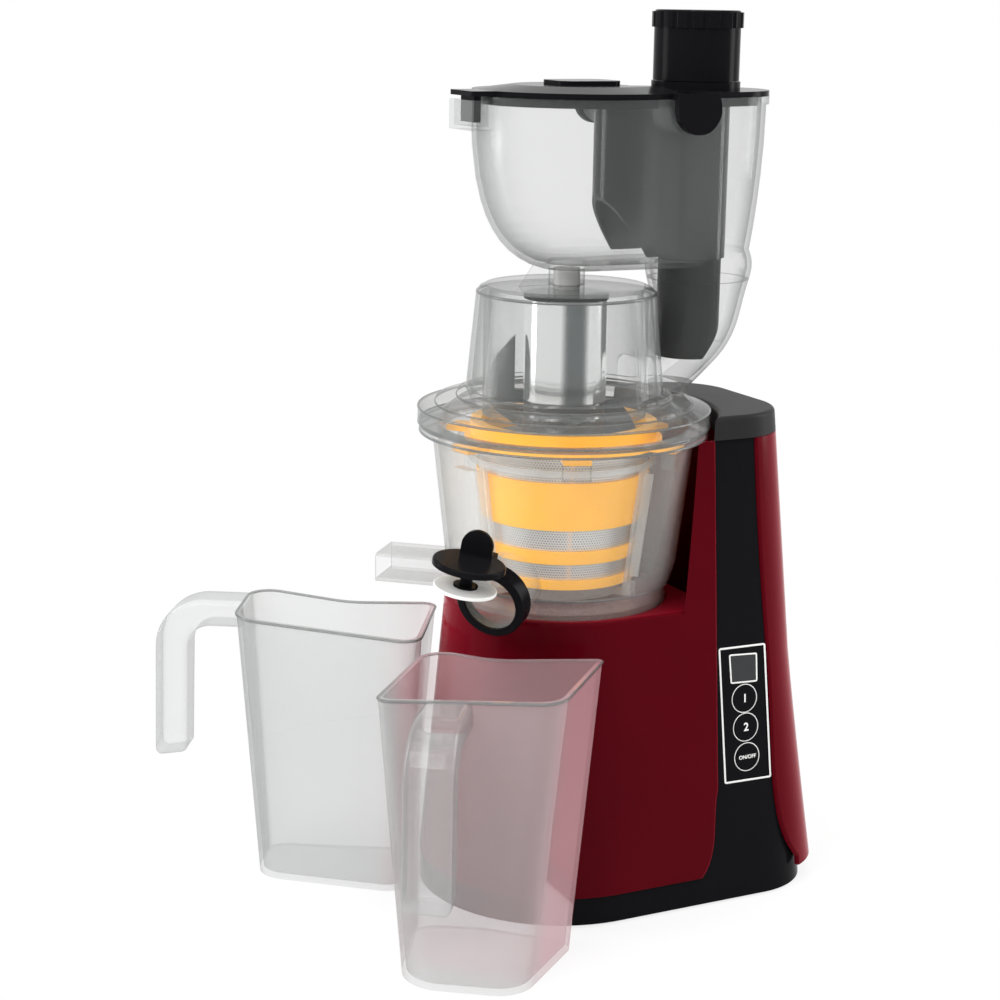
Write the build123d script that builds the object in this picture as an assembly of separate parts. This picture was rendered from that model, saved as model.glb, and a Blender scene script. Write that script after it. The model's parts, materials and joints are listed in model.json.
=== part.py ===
"""Cold press juicer: vertical slow juicer with a tower, a big feed hopper and two jugs.

Millimetres. Z is up and zero on the table, the auger turns about the Z axis, +Y is the tower side,
-Y the front and +X the side with the controls.
"""

from build123d import *
import math
import os

os.makedirs("parts", exist_ok=True)

# ---------------------------------------------------------------- clearances
GAP = 0.35  # between pieces of different bodies
SEAM = 0.3  # between neighbouring shells of the housing
SEAT = 0.05  # between pieces that are pushed together by hand
RUN = 0.05  # radial running fit of a shaft in its bearing
BITE = 1.0  # how far a cutting solid runs past the face it cuts
FAR = 600.0  # side of a cutting solid that is larger than the machine

# ---------------------------------------------------------------- heights of the stack
HOPPER_FOOT = 352.0  # lowest point of the feed bowl
DOME_AIR = 7.4  # between the dome and the feed bowl
DOME_TOP = HOPPER_FOOT - DOME_AIR

# ---------------------------------------------------------------- housing
BASE_R = 80.0  # plan radius of the front at table level, also half the width
DRAFT = 0.0875  # the sides lean in by this much for each millimetre of height
REAR_REACH = 139.2  # back face at table level, measured from the auger axis
REAR_DRAFT = 0.0742
REAR_CORNER = 44.0  # corner radius at the back, at table level
CORNER_DRAFT = 0.03
SHELL = 2.8
PANEL_SINK = 1.4  # the black panels and the plinth lie this far under the red shells
SHELL_ROUND = 1.5  # rounding of the red shells along their seams
COVER_FLARE = 7.6  # how far the rear cover's foot stands out
COVER_FLARE_TOP = 135.0
COVER_FLARE_POWER = 1.2
COVER_LEVELS = 7
COVER_FOOT = 12.0
FOOT_GAP = 1.4  # air under the plinth
PLINTH_TOP = 17.0
PLINTH_FLOOR = 3.0
DECK_Z = 170.0  # round deck that the bowl stands in
DECK_EDGE = 2.4
RECESS_R = 60.4
RECESS_FLOOR = 157.0
DECK_PLATE = 3.0
TOWER_Z = 262.5  # seam under the tower cap
CAP_Z = 275.5
CAP_EDGE = 2.6
CAP_WALL = 2.6
CATCH_W = 18.0
CATCH_T = 2.4
CATCH_H = 6.0
TOWER_HOLLOW_R = 78.0  # the tower's front is hollowed round the bowl
CAP_HOLLOW_R = 85.0

SEAM_FRONT_Y = 64.5
SEAM_FRONT_FOOT = [(64.5, 66.0), (62.3, 43.5), (59.6, 27.0), (54.0, PLINTH_TOP)]
SEAM_REAR = [(90.0, TOWER_Z), (94.8, 170.0), (99.0, 112.0), (102.5, 56.0), (107.5, 36.0), (119.0, PLINTH_TOP)]

FOOT_R = 9.0
FOOT_SINK = 1.6
FOOT_SPOTS = [(0.0, 0.0), (48.0, -38.0), (-48.0, -38.0), (46.0, 100.0), (-46.0, 100.0)]
SCREW_R = 2.0
SCREW_HEAD_R = 3.6
SCREW_HEAD_H = 2.0
SCREW_LENGTH = 12.0
FRONT_SCREWS = [(70.5, -14.0), (-70.5, -14.0)]
SIDE_SCREWS = [(70.6, 66.0), (-70.6, 66.0)]
REAR_SCREWS = [(30.0, 131.0), (-30.0, 131.0)]
BOSS_R = 5.0
VENT_COUNT = 7
VENT_PITCH = 9.0
VENT_WIDTH = 3.0
VENT_LENGTH = 46.0
VENT_Z = 62.0
INTAKE_PITCH = 5.4  # slots in the floor, under the fan
INTAKE_WIDTH = 2.4
INTAKE_LENGTH = 24.0
GLAND_Z = 26.0
GLAND_R = 6.0
GLAND_BORE_R = 3.6
GLAND_LENGTH = 16.0

# ---------------------------------------------------------------- controls
PANEL_Z = {"display": 133.5, "one": 116.2, "two": 99.6, "power": 82.4}
PANEL_Y = {"display": 81.6, "one": 82.3, "two": 83.0, "power": 83.7}
BUTTON_R = 7.4
BUTTON_PROUD = 0.6
BUTTON_TRAVEL = 0.8
BUTTON_STEM_R = 2.2
BUTTON_STEM = 4.4
BUTTON_RIM = 0.6
BUTTON_RIM_T = 1.2
DISPLAY_W = 17.0
DISPLAY_H = 16.0
DISPLAY_T = 1.2
BOARD_W = 24.0
BOARD_H = 84.0
BOARD_T = 1.6
BOARD_Y = 79.0
BOARD_Z = 107.0
BOARD_BACK = 11.0  # outer panel face to the board's outer face
SWITCH_SIZE = 6.0
SWITCH_H = BOARD_BACK - SHELL - BUTTON_STEM - BUTTON_TRAVEL - 2 * GAP

# ---------------------------------------------------------------- motor and gears
PINION_TEETH = 12
WHEEL_TEETH = 60
FINE_MODULE = 1.0
SMALL_TEETH = 14
OUTPUT_TEETH = 40
COARSE_MODULE = 1.5
BACKLASH = 0.22
GEARBOX_Z = 106.0
GEARBOX_TOP = 144.0
GEARBOX_WALL = 3.0
GEARBOX_CORNER = 8.0
GEARBOX_X = (-38.0, 48.0)
GEARBOX_Y = (-38.0, 77.0)
WHEEL_Z = (112.0, 120.0)
OUTPUT_Z = (124.0, 136.0)
IDLE_DIRECTION = 75.0
MOTOR_DIRECTION = 205.0
PIVOT_R = 3.0
MOTOR_SHAFT_R = 4.0
MOTOR_SHAFT_Z = (26.0, 121.0)
STATOR_R = 35.0
STATOR_BORE_R = 20.0
STATOR_Z = (48.0, 88.0)
WINDING_R = (22.0, 31.0)
WINDING_H = 7.0
ROTOR_AIR = 0.5
MOTOR_TOP_Z = GEARBOX_Z
MOTOR_FRAME_T = 3.0
FAN_R = 24.0
FAN_Z = (31.0, 38.0)
MOTOR_FOOT = (FAN_Z[1] + GAP + 0.1, 40.6)
FAN_BLADES = 9
BEARING_T = 6.0
BEARING_WALL = 4.0
POST_R = 4.0

# ---------------------------------------------------------------- drive shaft
SHAFT_R = 7.0
SHAFT_ROUND_TOP = 187.0
SHAFT_TOP = 214.0
HEX_ACROSS = 11.0
HEX_CLEAR = 0.35
HUB_R = 13.0
HUB_TOP = 162.0

# ---------------------------------------------------------------- bowl
SKIRT_R = 59.4
SKIRT_FOOT = RECESS_FLOOR + GAP
BOWL_FLOOR = 172.0
BOWL_FLOOR_T = 3.0
BOWL_WALL = 2.5
BOWL_PROFILE = [(SKIRT_R, SKIRT_FOOT), (SKIRT_R, 176.0), (62.0, 181.5), (65.0, 192.0), (73.0, 262.0)]
FLANGE_R = 80.4
FLANGE_WEB = (72.0, 76.0)  # radii of the web under the flange
FLANGE_Z = (263.0, 267.3)
BOWL_HUB_R = 12.4
BOWL_HUB_BORE = 9.4
BOWL_HUB_TOP = 182.0
LEDGE_TOP = 257.6
LEDGE_R = 62.0
LEDGE_H = 9.0

SPOUT_TURN = -52.5
SPOUT_SLOPE = 14.0
SPOUT_REACH = 90.0
SPOUT_Z = 184.8
SPOUT_R = 17.2
SPOUT_WALL = 2.0
SPOUT_BACK = 42.0
RING_R = 19.6
RING_DEPTH = 10.0
RING_LIP = 1.6
HINGE_H = 26.0
HINGE_OUT = 6.0
HINGE_TILT = 10.0
HINGE_PIN_R = 1.3
HINGE_PIN_L = 15.0
HINGE_PIN_END = 0.6  # how far the pin stands out of the ears
HINGE_EAR_T = 2.4
KNUCKLE_R = 3.0
CAP_R = 19.0
CAP_T = 3.2
CAP_AIR = 10.5  # between the seal and the cap's disc
SEAL_R = 16.4
SEAL_T = 2.0
STEM_R = 3.2
TAB_R = 8.4
TAB_T = 2.4
TAB_H = 13.0
TAB_IN = 6.0  # from the disc's edge on the hinge side
CAP_OPEN = 104.0

CHUTE_TURN = -131.7
CHUTE_END = 105.0
CHUTE_W = 31.0
CHUTE_Z = (DECK_Z + GAP + 0.2, 187.0)
CHUTE_WALL = 2.0
CHUTE_START = 50.0

# ---------------------------------------------------------------- strainer, wiper, auger
MESH_T = 0.6
MESH_R = [(39.4, 186.0), (48.9, 259.0)]  # outer radius of the mesh at two heights
BANDS = [(196.4, 203.8), (216.0, 243.0)]
BAND_OUT = 1.5
BAND_IN = 0.8
RIB_COUNT = 6  # also the number of tabs, and of the pads that they lie on
RIB_IN = 2.2
RIB_W = 2.4
STRAINER_FOOT = (182.0, 187.0)
STRAINER_FOOT_R = (34.6, 41.4)
STRAINER_TOP = (LEDGE_TOP + SEAT, 261.0)
STRAINER_TOP_R = (48.0, 55.0)
STRAINER_TAB_R = 69.0
STRAINER_TAB_W = 15.0
STRAINER_TURN = -21.5  # direction of the first tab and rib
STRAINER_LIP_R = 52.0
STRAINER_LIP_Z = 269.5

WIPER_MODULE = 1.0
AUGER_TEETH = 36
IDLER_TEETH = 12
RING_TEETH = 60
WIPER_Z = (174.6, 180.6)
WIPER_RIM_R = 35.5
WIPER_ARMS = 3
WIPER_TURN = 33.0  # direction of the first arm
WIPER_ARM_W = 6.0
WIPER_ARM_T = 2.0
WIPER_OFF = 2.6  # from the mesh to the arm
WIPER_TOP = (247.0, 251.0)
BLADE_W = 1.2

FLIGHT_AIR = 0.7
AUGER_FOOT = 174.6
CORE_R = [(29.0, AUGER_FOOT + 8.9), (22.0, 280.0)]
FLIGHTS = 3
FLIGHT_W = 5.0
FLIGHT_TURN = 230.0
FLIGHT_Z = (184.0, 276.0)
NECK_R = 23.0
AUGER_TOP = DOME_TOP - 4.6
NECK_Z = (281.0, AUGER_TOP - 3.0)
NECK_WALL = 1.6
FIN_R = 41.0
FIN_T = 5.0
FIN_FOOT = 279.0
FIN_PEAK = NECK_Z[1] - 21.0
FIN_OFF = 4.6  # from the neck to the fin
FIN_JOINT = 0.19  # share of the height where the fin reaches the neck
# share of the width and of the height of each corner of the fin's outer edge
FIN_EDGE = [(1.0, 0.0), (1.0, 0.53), (0.76, 0.7), (0.31, 0.89), (0.0, 1.0)]
FIN_TURN = -116.0
PIN_R = 4.0
PIN_TOP = HOPPER_FOOT + 1.0

# ---------------------------------------------------------------- hopper
COLLAR_R = 81.2
COLLAR_Z = (FLANGE_Z[1] + GAP, 277.0)
COLLAR_STEP = [(81.2, 277.0), (72.0, 279.0), (71.0, 281.4), (60.0, 283.0), (59.0, 286.0), (53.0, 287.0)]
COLLAR_WALL = 2.6
SPIGOT_R = 69.6
SPIGOT_FOOT = 263.4
THROAT = {"half_width": 15.6, "y": (34.0, 68.0), "z": (284.6, 302.0), "corner": 7.0}
CHUTE_FLOOR = [(30.0, 282.0), (54.0, 283.4), (68.0, 286.6), (82.0, 296.0), (96.0, 308.0)]
DOME_R = [(54.8, 286.0), (49.6, DOME_TOP - 4.6)]
DOME_ROUND = [(2.0, 1.4), (5.0, 0.0)]  # corners of the rounded top edge, inwards and down
DOME_WALL = 2.4
SLEEVE_R = (42.6, 45.4)
SLEEVE_FOOT = 273.0
WELD_R = 49.0  # seam between the dome's floor and the collar, outside the sleeve
BOSS_TOP_R = 10.0
BOSS_TOP = HOPPER_FOOT + 6.4
BUSH_R = 7.4
BUSH_OVER = 0.6
HOPPER_TOP = 446.4
HOPPER_WALL = 2.6
HOPPER_SHARES = (0.02, 0.042, 0.074, 0.116, 0.17, 0.233, 0.307, 0.4, 0.53, 0.72, 1.0)
RIM_BEAD = 1.4
RIM_BEAD_H = 4.4
HOPPER_ROUNDING = 2.9  # exponent of the curve from the bottom of the feed bowl to its wall
HOPPER_FRONT = (58.0, 4.5)  # radius and place of the front arc at the rim
HOPPER_REAR = (36.5, 81.5)  # radius and place of the rear arc at the rim
HOPPER_REAR_FOOT = (26.5, 84.0)
HOPPER_LEAN = 2.0  # how far the bottom of the front arc lies behind the rim
CHUTE_HEIGHT = (278.0, HOPPER_FOOT + 10.0)
# share of the height, radius and place of the round chute between the feed bowl and the auger
CHUTE_RINGS = [
    (0.0, 14.8, 54.0),
    (0.083, 17.3, 60.3),
    (0.179, 19.9, 66.6),
    (0.321, 23.0, 75.4),
    (0.512, 24.8, 82.0),
    (0.69, 26.8, 83.6),
    (1.0, 27.6, 84.0),
]
GUSSET_T = 2.0
# place and height over the dome of each corner of the gusset under the feed bowl
GUSSET = [(-30.0, -1.0), (-26.0, 4.0), (-21.0, 11.0), (-17.0, 19.0), (-5.0, 19.0), (-5.0, -1.0)]
LATCH_BOX_X = 14.0
LATCH_BOX_Y = (-65.5, -50.0)
LATCH_BOX_Z = (429.0, 444.6)
LATCH_WALL = 2.0

# ---------------------------------------------------------------- lid, tube, pusher
LID_Z = (HOPPER_TOP + GAP, 449.4)
LID_OVER = -0.6
COVER_OVER = 1.2
LID_TAB_BACK = -50.0
LID_CROWN = 2.6
LID_EDGE = 3.0  # from the rim's outline to the foot of the crown
LID_SLOPE = 19.0  # how far the crown's edge slopes inwards
LIP_H = 5.0  # lip that reaches down inside the feed bowl
LIP_GAP = 1.2
LIP_T = 2.0
LIP_SHORT = 16.0
EAR_BRIDGE = 10.0
HOOK_X = 8.0
HOOK_T = 4.0
LID_NOTCH_X = 28.0
LID_NOTCH_Y = 29.0
LID_END_Y = 41.0
EAR_Y = 46.2
EAR_Z = 441.3
EAR_R = 13.3
EAR_T = 4.0
EAR_SKIN = 1.4  # outer skin of the ear, over the pivot
EAR_PIN_R = 3.0
EAR_BOSS_L = 8.0
BOSS_WALL = 2.0
CUP_X = (30.0, 47.0)  # hollow boss inside the feed bowl, on the pivot line
CUP_WALL = 2.4
LID_OPEN = 70.0
GRIP_Y = (-12.0, 25.0)
GRIP_X = 15.0
GRIP_T = 2.4
GRIP_CORNER = 8.0
REAR_COVER_Y = 56.5
TUBE_Y = 78.0
PUSHER_R = 17.7
TUBE_GAP = 0.4
TUBE_WALL = 1.4
TUBE_FOOT = HOPPER_FOOT + 5.0
TUBE_RIM_R = 24.6
TUBE_RIM_Z = 453.8
PUSHER_FOOT = HOPPER_FOOT - 51.0
PUSHER_FOOT_CUT = 22.0
PUSHER_WALL = 2.2
PUSHER_CAP_R = 23.8
PUSHER_RIM_R = 25.2
PUSHER_RIM_H = 8.4
PUSHER_TOP = 492.0
SCALLOPS = 18
SCALLOP_R = 2.4
GUIDE_Y = (17.5, 57.0)
GUIDE_X = 21.0
GUIDE_T = 2.0
GUIDE_FOOT = HOPPER_FOOT + 8.0
GUIDE_CUT = (HOPPER_FOOT + 42.0, 22.0)  # top and depth of the slanted front

# ---------------------------------------------------------------- jugs
JUG_TURN = 63.5  # the jugs stand along a line turned this much from the width of the machine
JUG_WALL = 2.4
JUG_FLOOR = 2.8
HANDLE_W = 25.0
HANDLE_OUT = 50.0
HANDLE_BAR = 16.0
HANDLE_GRIP = 19.0
HANDLE_BEND = 30.0
HANDLE_ROUND = 4.0
HANDLE_INNER_BEND = 14.0
PULP_JUG = {
    "height": 152.0,
    "foot": [(-172.0, -14.0), (-85.0, -35.0), (-83.5, 28.0), (-122.0, 30.0), (-170.0, 33.0)],
    "foot_radii": [18.0, 12.0, 10.0, 40.0, 12.0],
    "rim": [(-186.0, -2.0), (-78.0, -46.0), (-70.5, 37.0), (-122.0, 36.0), (-181.0, 66.0)],
    "rim_radii": [22.0, 10.0, 8.0, 40.0, 12.0],
    "handle_at": (-185.0, 44.0),
    "handle_turn": 175.0,
    "handle_drop": 98.0,
}
JUICE_JUG = {
    "height": 156.0,
    "foot": [(-84.0, -154.0), (-20.0, -164.0), (9.0, -100.0), (-40.0, -82.5), (-78.0, -80.0)],
    "foot_radii": [24.0, 20.0, 8.0, 40.0, 12.0],
    "rim": [(-96.0, -156.0), (-2.0, -158.0), (22.0, -82.0), (-36.0, -86.0), (-72.0, -68.0)],
    "rim_radii": [6.0, 16.0, 2.8, 40.0, 14.0],
    "handle_at": (-59.0, -156.5),
    "handle_turn": 260.0,
    "handle_drop": 94.0,
}

NODES = {}


def node(name, shape):
    """Keep a finished piece under the name of its node."""
    NODES[name] = shape
    return shape


# ---------------------------------------------------------------- plain helpers
def cylinder(radius, low, high, x=0.0, y=0.0):
    """Upright cylinder between two heights."""
    return Pos(x, y, (low + high) / 2) * Cylinder(radius, high - low)


def tube(outer, inner, low, high, x=0.0, y=0.0):
    """Upright tube between two heights."""
    return cylinder(outer, low, high, x, y) - cylinder(inner, low - BITE, high + BITE, x, y)


def block(x_range, y_range, z_range):
    """Box between two corners."""
    (x0, x1), (y0, y1), (z0, z1) = x_range, y_range, z_range
    return Pos((x0 + x1) / 2, (y0 + y1) / 2, (z0 + z1) / 2) * Box(x1 - x0, y1 - y0, z1 - z0)


def turned(points):
    """Solid of revolution about Z from a closed profile of (radius, height) points."""
    profile = make_face(Polyline(*[(r, 0, z) for r, z in points], close=True))
    return revolve(profile, Axis.Z, 360)


def cone_radius(ends, z):
    """Radius at height z on the straight line through two (radius, height) points."""
    (r0, z0), (r1, z1) = ends
    return r0 + (r1 - r0) * (z - z0) / (z1 - z0)


def cone_shell(ends, outward, inward, low, high):
    """Conical ring that follows a cone, from inward inside it to outward outside it."""
    a, b = cone_radius(ends, low), cone_radius(ends, high)
    return turned([(a + outward, low), (b + outward, high), (b - inward, high), (a - inward, low)])


def side_profile(points, x_range):
    """Solid between two X places whose outline in the YZ plane is a closed polygon."""
    face = make_face(Polyline(*[(x_range[0], y, z) for y, z in points], close=True))
    return extrude(face, amount=x_range[1] - x_range[0], dir=(1, 0, 0))


def polar(radius, degrees):
    """Point at a radius and a direction."""
    return radius * math.cos(math.radians(degrees)), radius * math.sin(math.radians(degrees))


# ---------------------------------------------------------------- housing surfaces
def half_width(z):
    """Half the width, and the front radius, of the housing at height z."""
    return BASE_R - DRAFT * z


def housing_section(z, inset, flare=0.0):
    """Plan of the housing at height z: round front, straight sides, rounded rear corners."""
    half = half_width(z) - inset
    rear = REAR_REACH - REAR_DRAFT * z - inset + flare
    corner = REAR_CORNER - CORNER_DRAFT * z - inset
    diagonal = corner * math.sqrt(0.5)
    line = (
        ThreePointArc((-half, 0), (0, -half), (half, 0))
        + Line((half, 0), (half, rear - corner))
        + ThreePointArc(
            (half, rear - corner),
            (half - corner + diagonal, rear - corner + diagonal),
            (half - corner, rear),
        )
        + Line((half - corner, rear), (corner - half, rear))
        + ThreePointArc(
            (corner - half, rear),
            (corner - half - diagonal, rear - corner + diagonal),
            (-half, rear - corner),
        )
        + Line((-half, rear - corner), (-half, 0))
    )
    return Pos(0, 0, z) * make_face(line)


def housing_block(low, high, inset=0.0):
    """Solid inside the housing's outer surface, moved inwards by inset."""
    return loft([housing_section(low, inset), housing_section(high, inset)], ruled=True)


def cover_flare(z):
    """How far the rear cover stands out behind the housing's straight back at height z."""
    share = max(0.0, (COVER_FLARE_TOP - z) / COVER_FLARE_TOP)
    return COVER_FLARE * share**COVER_FLARE_POWER


def cover_block(low, inset):
    """Solid inside the rear cover's outer surface, from a height up to the tower cap's seam."""
    step = (COVER_FLARE_TOP - low) / COVER_LEVELS
    heights = [low + step * level for level in range(COVER_LEVELS + 1)] + [TOWER_Z]
    return loft([housing_section(z, inset, cover_flare(z)) for z in heights], ruled=True)


def seam_edges(body, curve):
    """Edges of a body on the outer skin along a seam line."""
    found = []
    for edge in body.edges():
        middle = edge @ 0.5
        z = min(max(middle.Z, curve[-1][1]), curve[0][1])
        (y1, z1), (y0, z0) = next(pair for pair in zip(curve, curve[1:]) if pair[1][1] <= z <= pair[0][1])
        place = y0 + (y1 - y0) * (z - z0) / (z1 - z0)
        runs_up = abs((edge @ 1).Z - (edge @ 0).Z) > 1.0
        if runs_up and abs(middle.X) > half_width(middle.Z) / 2 and abs(middle.Y - place) < SHELL:
            found.append(edge)
    return found


def seam_face(front, shift):
    """Face in the YZ plane on one side of a seam line, which is moved by shift along Y."""
    if front:
        start = [(SEAM_FRONT_Y + shift, TOWER_Z + BITE), (SEAM_FRONT_Y + shift, SEAM_FRONT_FOOT[0][1])]
        curve = [(y + shift, z) for y, z in SEAM_FRONT_FOOT]
        far = -2 * BASE_R
    else:
        start = [(SEAM_REAR[0][0] + shift, TOWER_Z + BITE), (SEAM_REAR[0][0] + shift, TOWER_Z)]
        curve = [(y + shift, z) for y, z in SEAM_REAR]
        far = 2 * REAR_REACH
    foot = curve[-1][0], COVER_FOOT - BITE
    line = (
        Line(start[0], start[1])
        + Spline(*curve)
        + Polyline(curve[-1], foot, (far, foot[1]), (far, start[0][1]), start[0])
    )
    return Plane.YZ * make_face(line)


def seam_zone(front, shift=0.0):
    """Everything in front of the front seam, or behind the rear seam."""
    return extrude(seam_face(front, shift), amount=2 * BASE_R, both=True)


# ---------------------------------------------------------------- gears
def gear_outline(teeth, module, slack, start):
    """Closed involute outline; slack narrows each tooth, start is the direction of a tooth's middle."""
    pitch_r = module * teeth / 2
    base_r = pitch_r * math.cos(math.radians(20))
    tip_r = pitch_r + module
    root_r = pitch_r - 1.25 * module
    half_pitch = math.pi / (2 * teeth) - slack / (2 * pitch_r)
    involute = math.tan(math.radians(20)) - math.radians(20)

    def half_angle(radius):
        """Half the tooth's thickness, as an angle, at a radius."""
        if radius <= base_r:
            return half_pitch + involute
        turn = math.acos(base_r / radius)
        return half_pitch + involute - (math.tan(turn) - turn)

    flank = [root_r, max(base_r, root_r + 0.2 * module), pitch_r, (pitch_r + tip_r) / 2, tip_r]
    points = []
    for tooth in range(teeth):
        middle = math.radians(start) + 2 * math.pi * tooth / teeth
        for side, radii in ((-1, flank), (1, flank[::-1])):
            for radius in radii:
                angle = middle + side * half_angle(radius)
                points.append((radius * math.cos(angle), radius * math.sin(angle)))
    return Polyline(*points, close=True)


def gear(teeth, module, low, high, start, bore=0.0, x=0.0, y=0.0):
    """Spur gear between two heights."""
    body = extrude(make_face(gear_outline(teeth, module, BACKLASH, start)), amount=high - low)
    if bore:
        body = body - Pos(0, 0, (high - low) / 2) * Cylinder(bore, high - low + 2 * BITE)
    return Pos(x, y, low) * body


def ring_gear(teeth, module, low, high, start, rim):
    """Internal gear: a ring with a gear-shaped opening; start is the direction of a space's middle."""
    opening = extrude(make_face(gear_outline(teeth, module, -BACKLASH, start)), amount=high - low + 2 * BITE)
    tip_clear = Pos(0, 0, (high - low) / 2) * Cylinder(module * (teeth / 2 - 0.75), high - low + 2 * BITE)
    ring = Pos(0, 0, (high - low) / 2) * Cylinder(rim, high - low)
    return Pos(0, 0, low) * (ring - Pos(0, 0, -BITE) * opening - tip_clear)


WHEEL_DISTANCE = FINE_MODULE * (PINION_TEETH + WHEEL_TEETH) / 2
OUTPUT_DISTANCE = COARSE_MODULE * (SMALL_TEETH + OUTPUT_TEETH) / 2
IDLE_X, IDLE_Y = polar(OUTPUT_DISTANCE, IDLE_DIRECTION)
MOTOR_STEP = polar(WHEEL_DISTANCE, MOTOR_DIRECTION)
MOTOR_X, MOTOR_Y = IDLE_X + MOTOR_STEP[0], IDLE_Y + MOTOR_STEP[1]
IDLER_PATH_R = WIPER_MODULE * (AUGER_TEETH + IDLER_TEETH) / 2


# ---------------------------------------------------------------- base
def make_plinth():
    """Lower housing: a tray with feet recesses, screw bosses, gearbox posts and intake slots."""
    floor_top = FOOT_GAP + PLINTH_FLOOR
    tray = housing_block(FOOT_GAP, PLINTH_TOP, PANEL_SINK)
    tray -= housing_block(floor_top, PLINTH_TOP + BITE, PANEL_SINK + SHELL)
    inside = housing_block(FOOT_GAP, PLINTH_TOP, PANEL_SINK)
    for x, y in FRONT_SCREWS + SIDE_SCREWS + REAR_SCREWS:
        tray += cylinder(BOSS_R, floor_top - BITE, PLINTH_TOP, x, y) & inside
        tray -= cylinder(SCREW_R + SEAT, FOOT_GAP - BITE, PLINTH_TOP + BITE, x, y)
        tray -= cylinder(SCREW_HEAD_R + SEAT, FOOT_GAP - BITE, FOOT_GAP + SCREW_HEAD_H, x, y)
    for x in GEARBOX_X:
        for y in GEARBOX_Y:
            step_x = POST_R if x < 0 else -POST_R
            step_y = POST_R if y < 0 else -POST_R
            tray += cylinder(POST_R, floor_top - BITE, GEARBOX_Z, x + step_x, y + step_y)
    for x, y in FOOT_SPOTS:
        tray -= cylinder(FOOT_R + SEAT, FOOT_GAP - BITE, FOOT_GAP + FOOT_SINK, x, y)
    for row in range(VENT_COUNT):
        y = MOTOR_Y + (row - (VENT_COUNT - 1) / 2) * INTAKE_PITCH
        slot_x = (MOTOR_X - INTAKE_LENGTH / 2, MOTOR_X + INTAKE_LENGTH / 2)
        slot_y = (y - INTAKE_WIDTH / 2, y + INTAKE_WIDTH / 2)
        tray -= block(slot_x, slot_y, (FOOT_GAP - BITE, floor_top + BITE))
    return tray


def make_front_shell():
    """Red front: round lower body with the deck and its recess, and the hollow front of the tower."""
    body = housing_block(PLINTH_TOP, TOWER_Z) & seam_zone(True, -SEAM / 2)
    body -= cylinder(TOWER_HOLLOW_R, DECK_Z, TOWER_Z + BITE)
    rim = [e for e in body.edges() if abs(e.center().Z - DECK_Z) < SEAT and e.center().Y < -RECESS_R / 2]
    body = fillet(rim, DECK_EDGE)
    body = fillet(seam_edges(body, [(SEAM_FRONT_Y, TOWER_Z)] + SEAM_FRONT_FOOT), SHELL_ROUND)
    void = housing_block(PLINTH_TOP - BITE, TOWER_Z + BITE, SHELL)
    void -= cylinder(TOWER_HOLLOW_R + SHELL, DECK_Z - DECK_PLATE, TOWER_Z + 2 * BITE)
    body -= void
    cup_r = RECESS_R + DECK_PLATE
    body += tube(cup_r, RECESS_R, RECESS_FLOOR - DECK_PLATE, DECK_Z - DECK_PLATE / 2)
    body += tube(cup_r, HUB_R + SEAT, RECESS_FLOOR - DECK_PLATE, RECESS_FLOOR)
    body -= cylinder(RECESS_R, RECESS_FLOOR, DECK_Z + BITE)
    return body + screw_bosses(FRONT_SCREWS)


def screw_bosses(spots, sink=0.0):
    """Bosses inside a shell that take the housing screws; sink is the shell's depth under the skin."""
    inside = housing_block(PLINTH_TOP, TOWER_Z, sink + SHELL / 2)
    bosses = [tube(BOSS_R, SCREW_R, PLINTH_TOP, PLINTH_TOP + SCREW_LENGTH, x, y) & inside for x, y in spots]
    return bosses[0] + bosses[1:]


def make_band():
    """The two black side panels, right one first; they lie a little under the red shells."""
    band = housing_block(PLINTH_TOP, TOWER_Z, PANEL_SINK)
    band -= housing_block(PLINTH_TOP - BITE, TOWER_Z + BITE, PANEL_SINK + SHELL)
    band = band - seam_zone(True, SEAM / 2) - seam_zone(False, -SEAM / 2)
    band += screw_bosses(SIDE_SCREWS, PANEL_SINK)
    right = band & block((0, FAR), (-FAR, FAR), (0, FAR))
    left = band & block((-FAR, 0), (-FAR, FAR), (0, FAR))
    return right, left


def panel_plane(y, z):
    """Plane on the outer face of the right-hand panel: its Z points outwards, its Y up the slope."""
    lean = math.atan(DRAFT)
    outward = Vector(math.cos(lean), 0, math.sin(lean))
    return Plane(origin=(half_width(z) - PANEL_SINK, y, z), x_dir=(0, 1, 0), z_dir=outward)


def make_right_panel(blank):
    """Control panel: pockets and holes for the window and the buttons."""
    panel = blank
    window = panel_plane(PANEL_Y["display"], PANEL_Z["display"])
    panel -= window * Pos(0, 0, -DISPLAY_T / 2) * Box(DISPLAY_W, DISPLAY_H, DISPLAY_T + SEAT)
    for key in ("one", "two", "power"):
        spot = panel_plane(PANEL_Y[key], PANEL_Z[key])
        panel -= spot * Cylinder(BUTTON_R + GAP, 4 * SHELL)
    return panel


def make_button(key):
    """Button: a disc in the panel, a wider rim behind it and a stem to the switch."""
    spot = panel_plane(PANEL_Y[key], PANEL_Z[key])
    disc = Pos(0, 0, (BUTTON_PROUD - SHELL - GAP) / 2) * Cylinder(BUTTON_R, SHELL + BUTTON_PROUD + GAP)
    disc = fillet(disc.edges().group_by(Axis.Z)[-1], 0.5)
    rim = Pos(0, 0, -SHELL - GAP - BUTTON_RIM_T / 2) * Cylinder(BUTTON_R + BUTTON_RIM, BUTTON_RIM_T)
    stem = Pos(0, 0, -SHELL - GAP - BUTTON_STEM / 2) * Cylinder(BUTTON_STEM_R, BUTTON_STEM)
    return spot * (disc + rim + stem)


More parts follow.
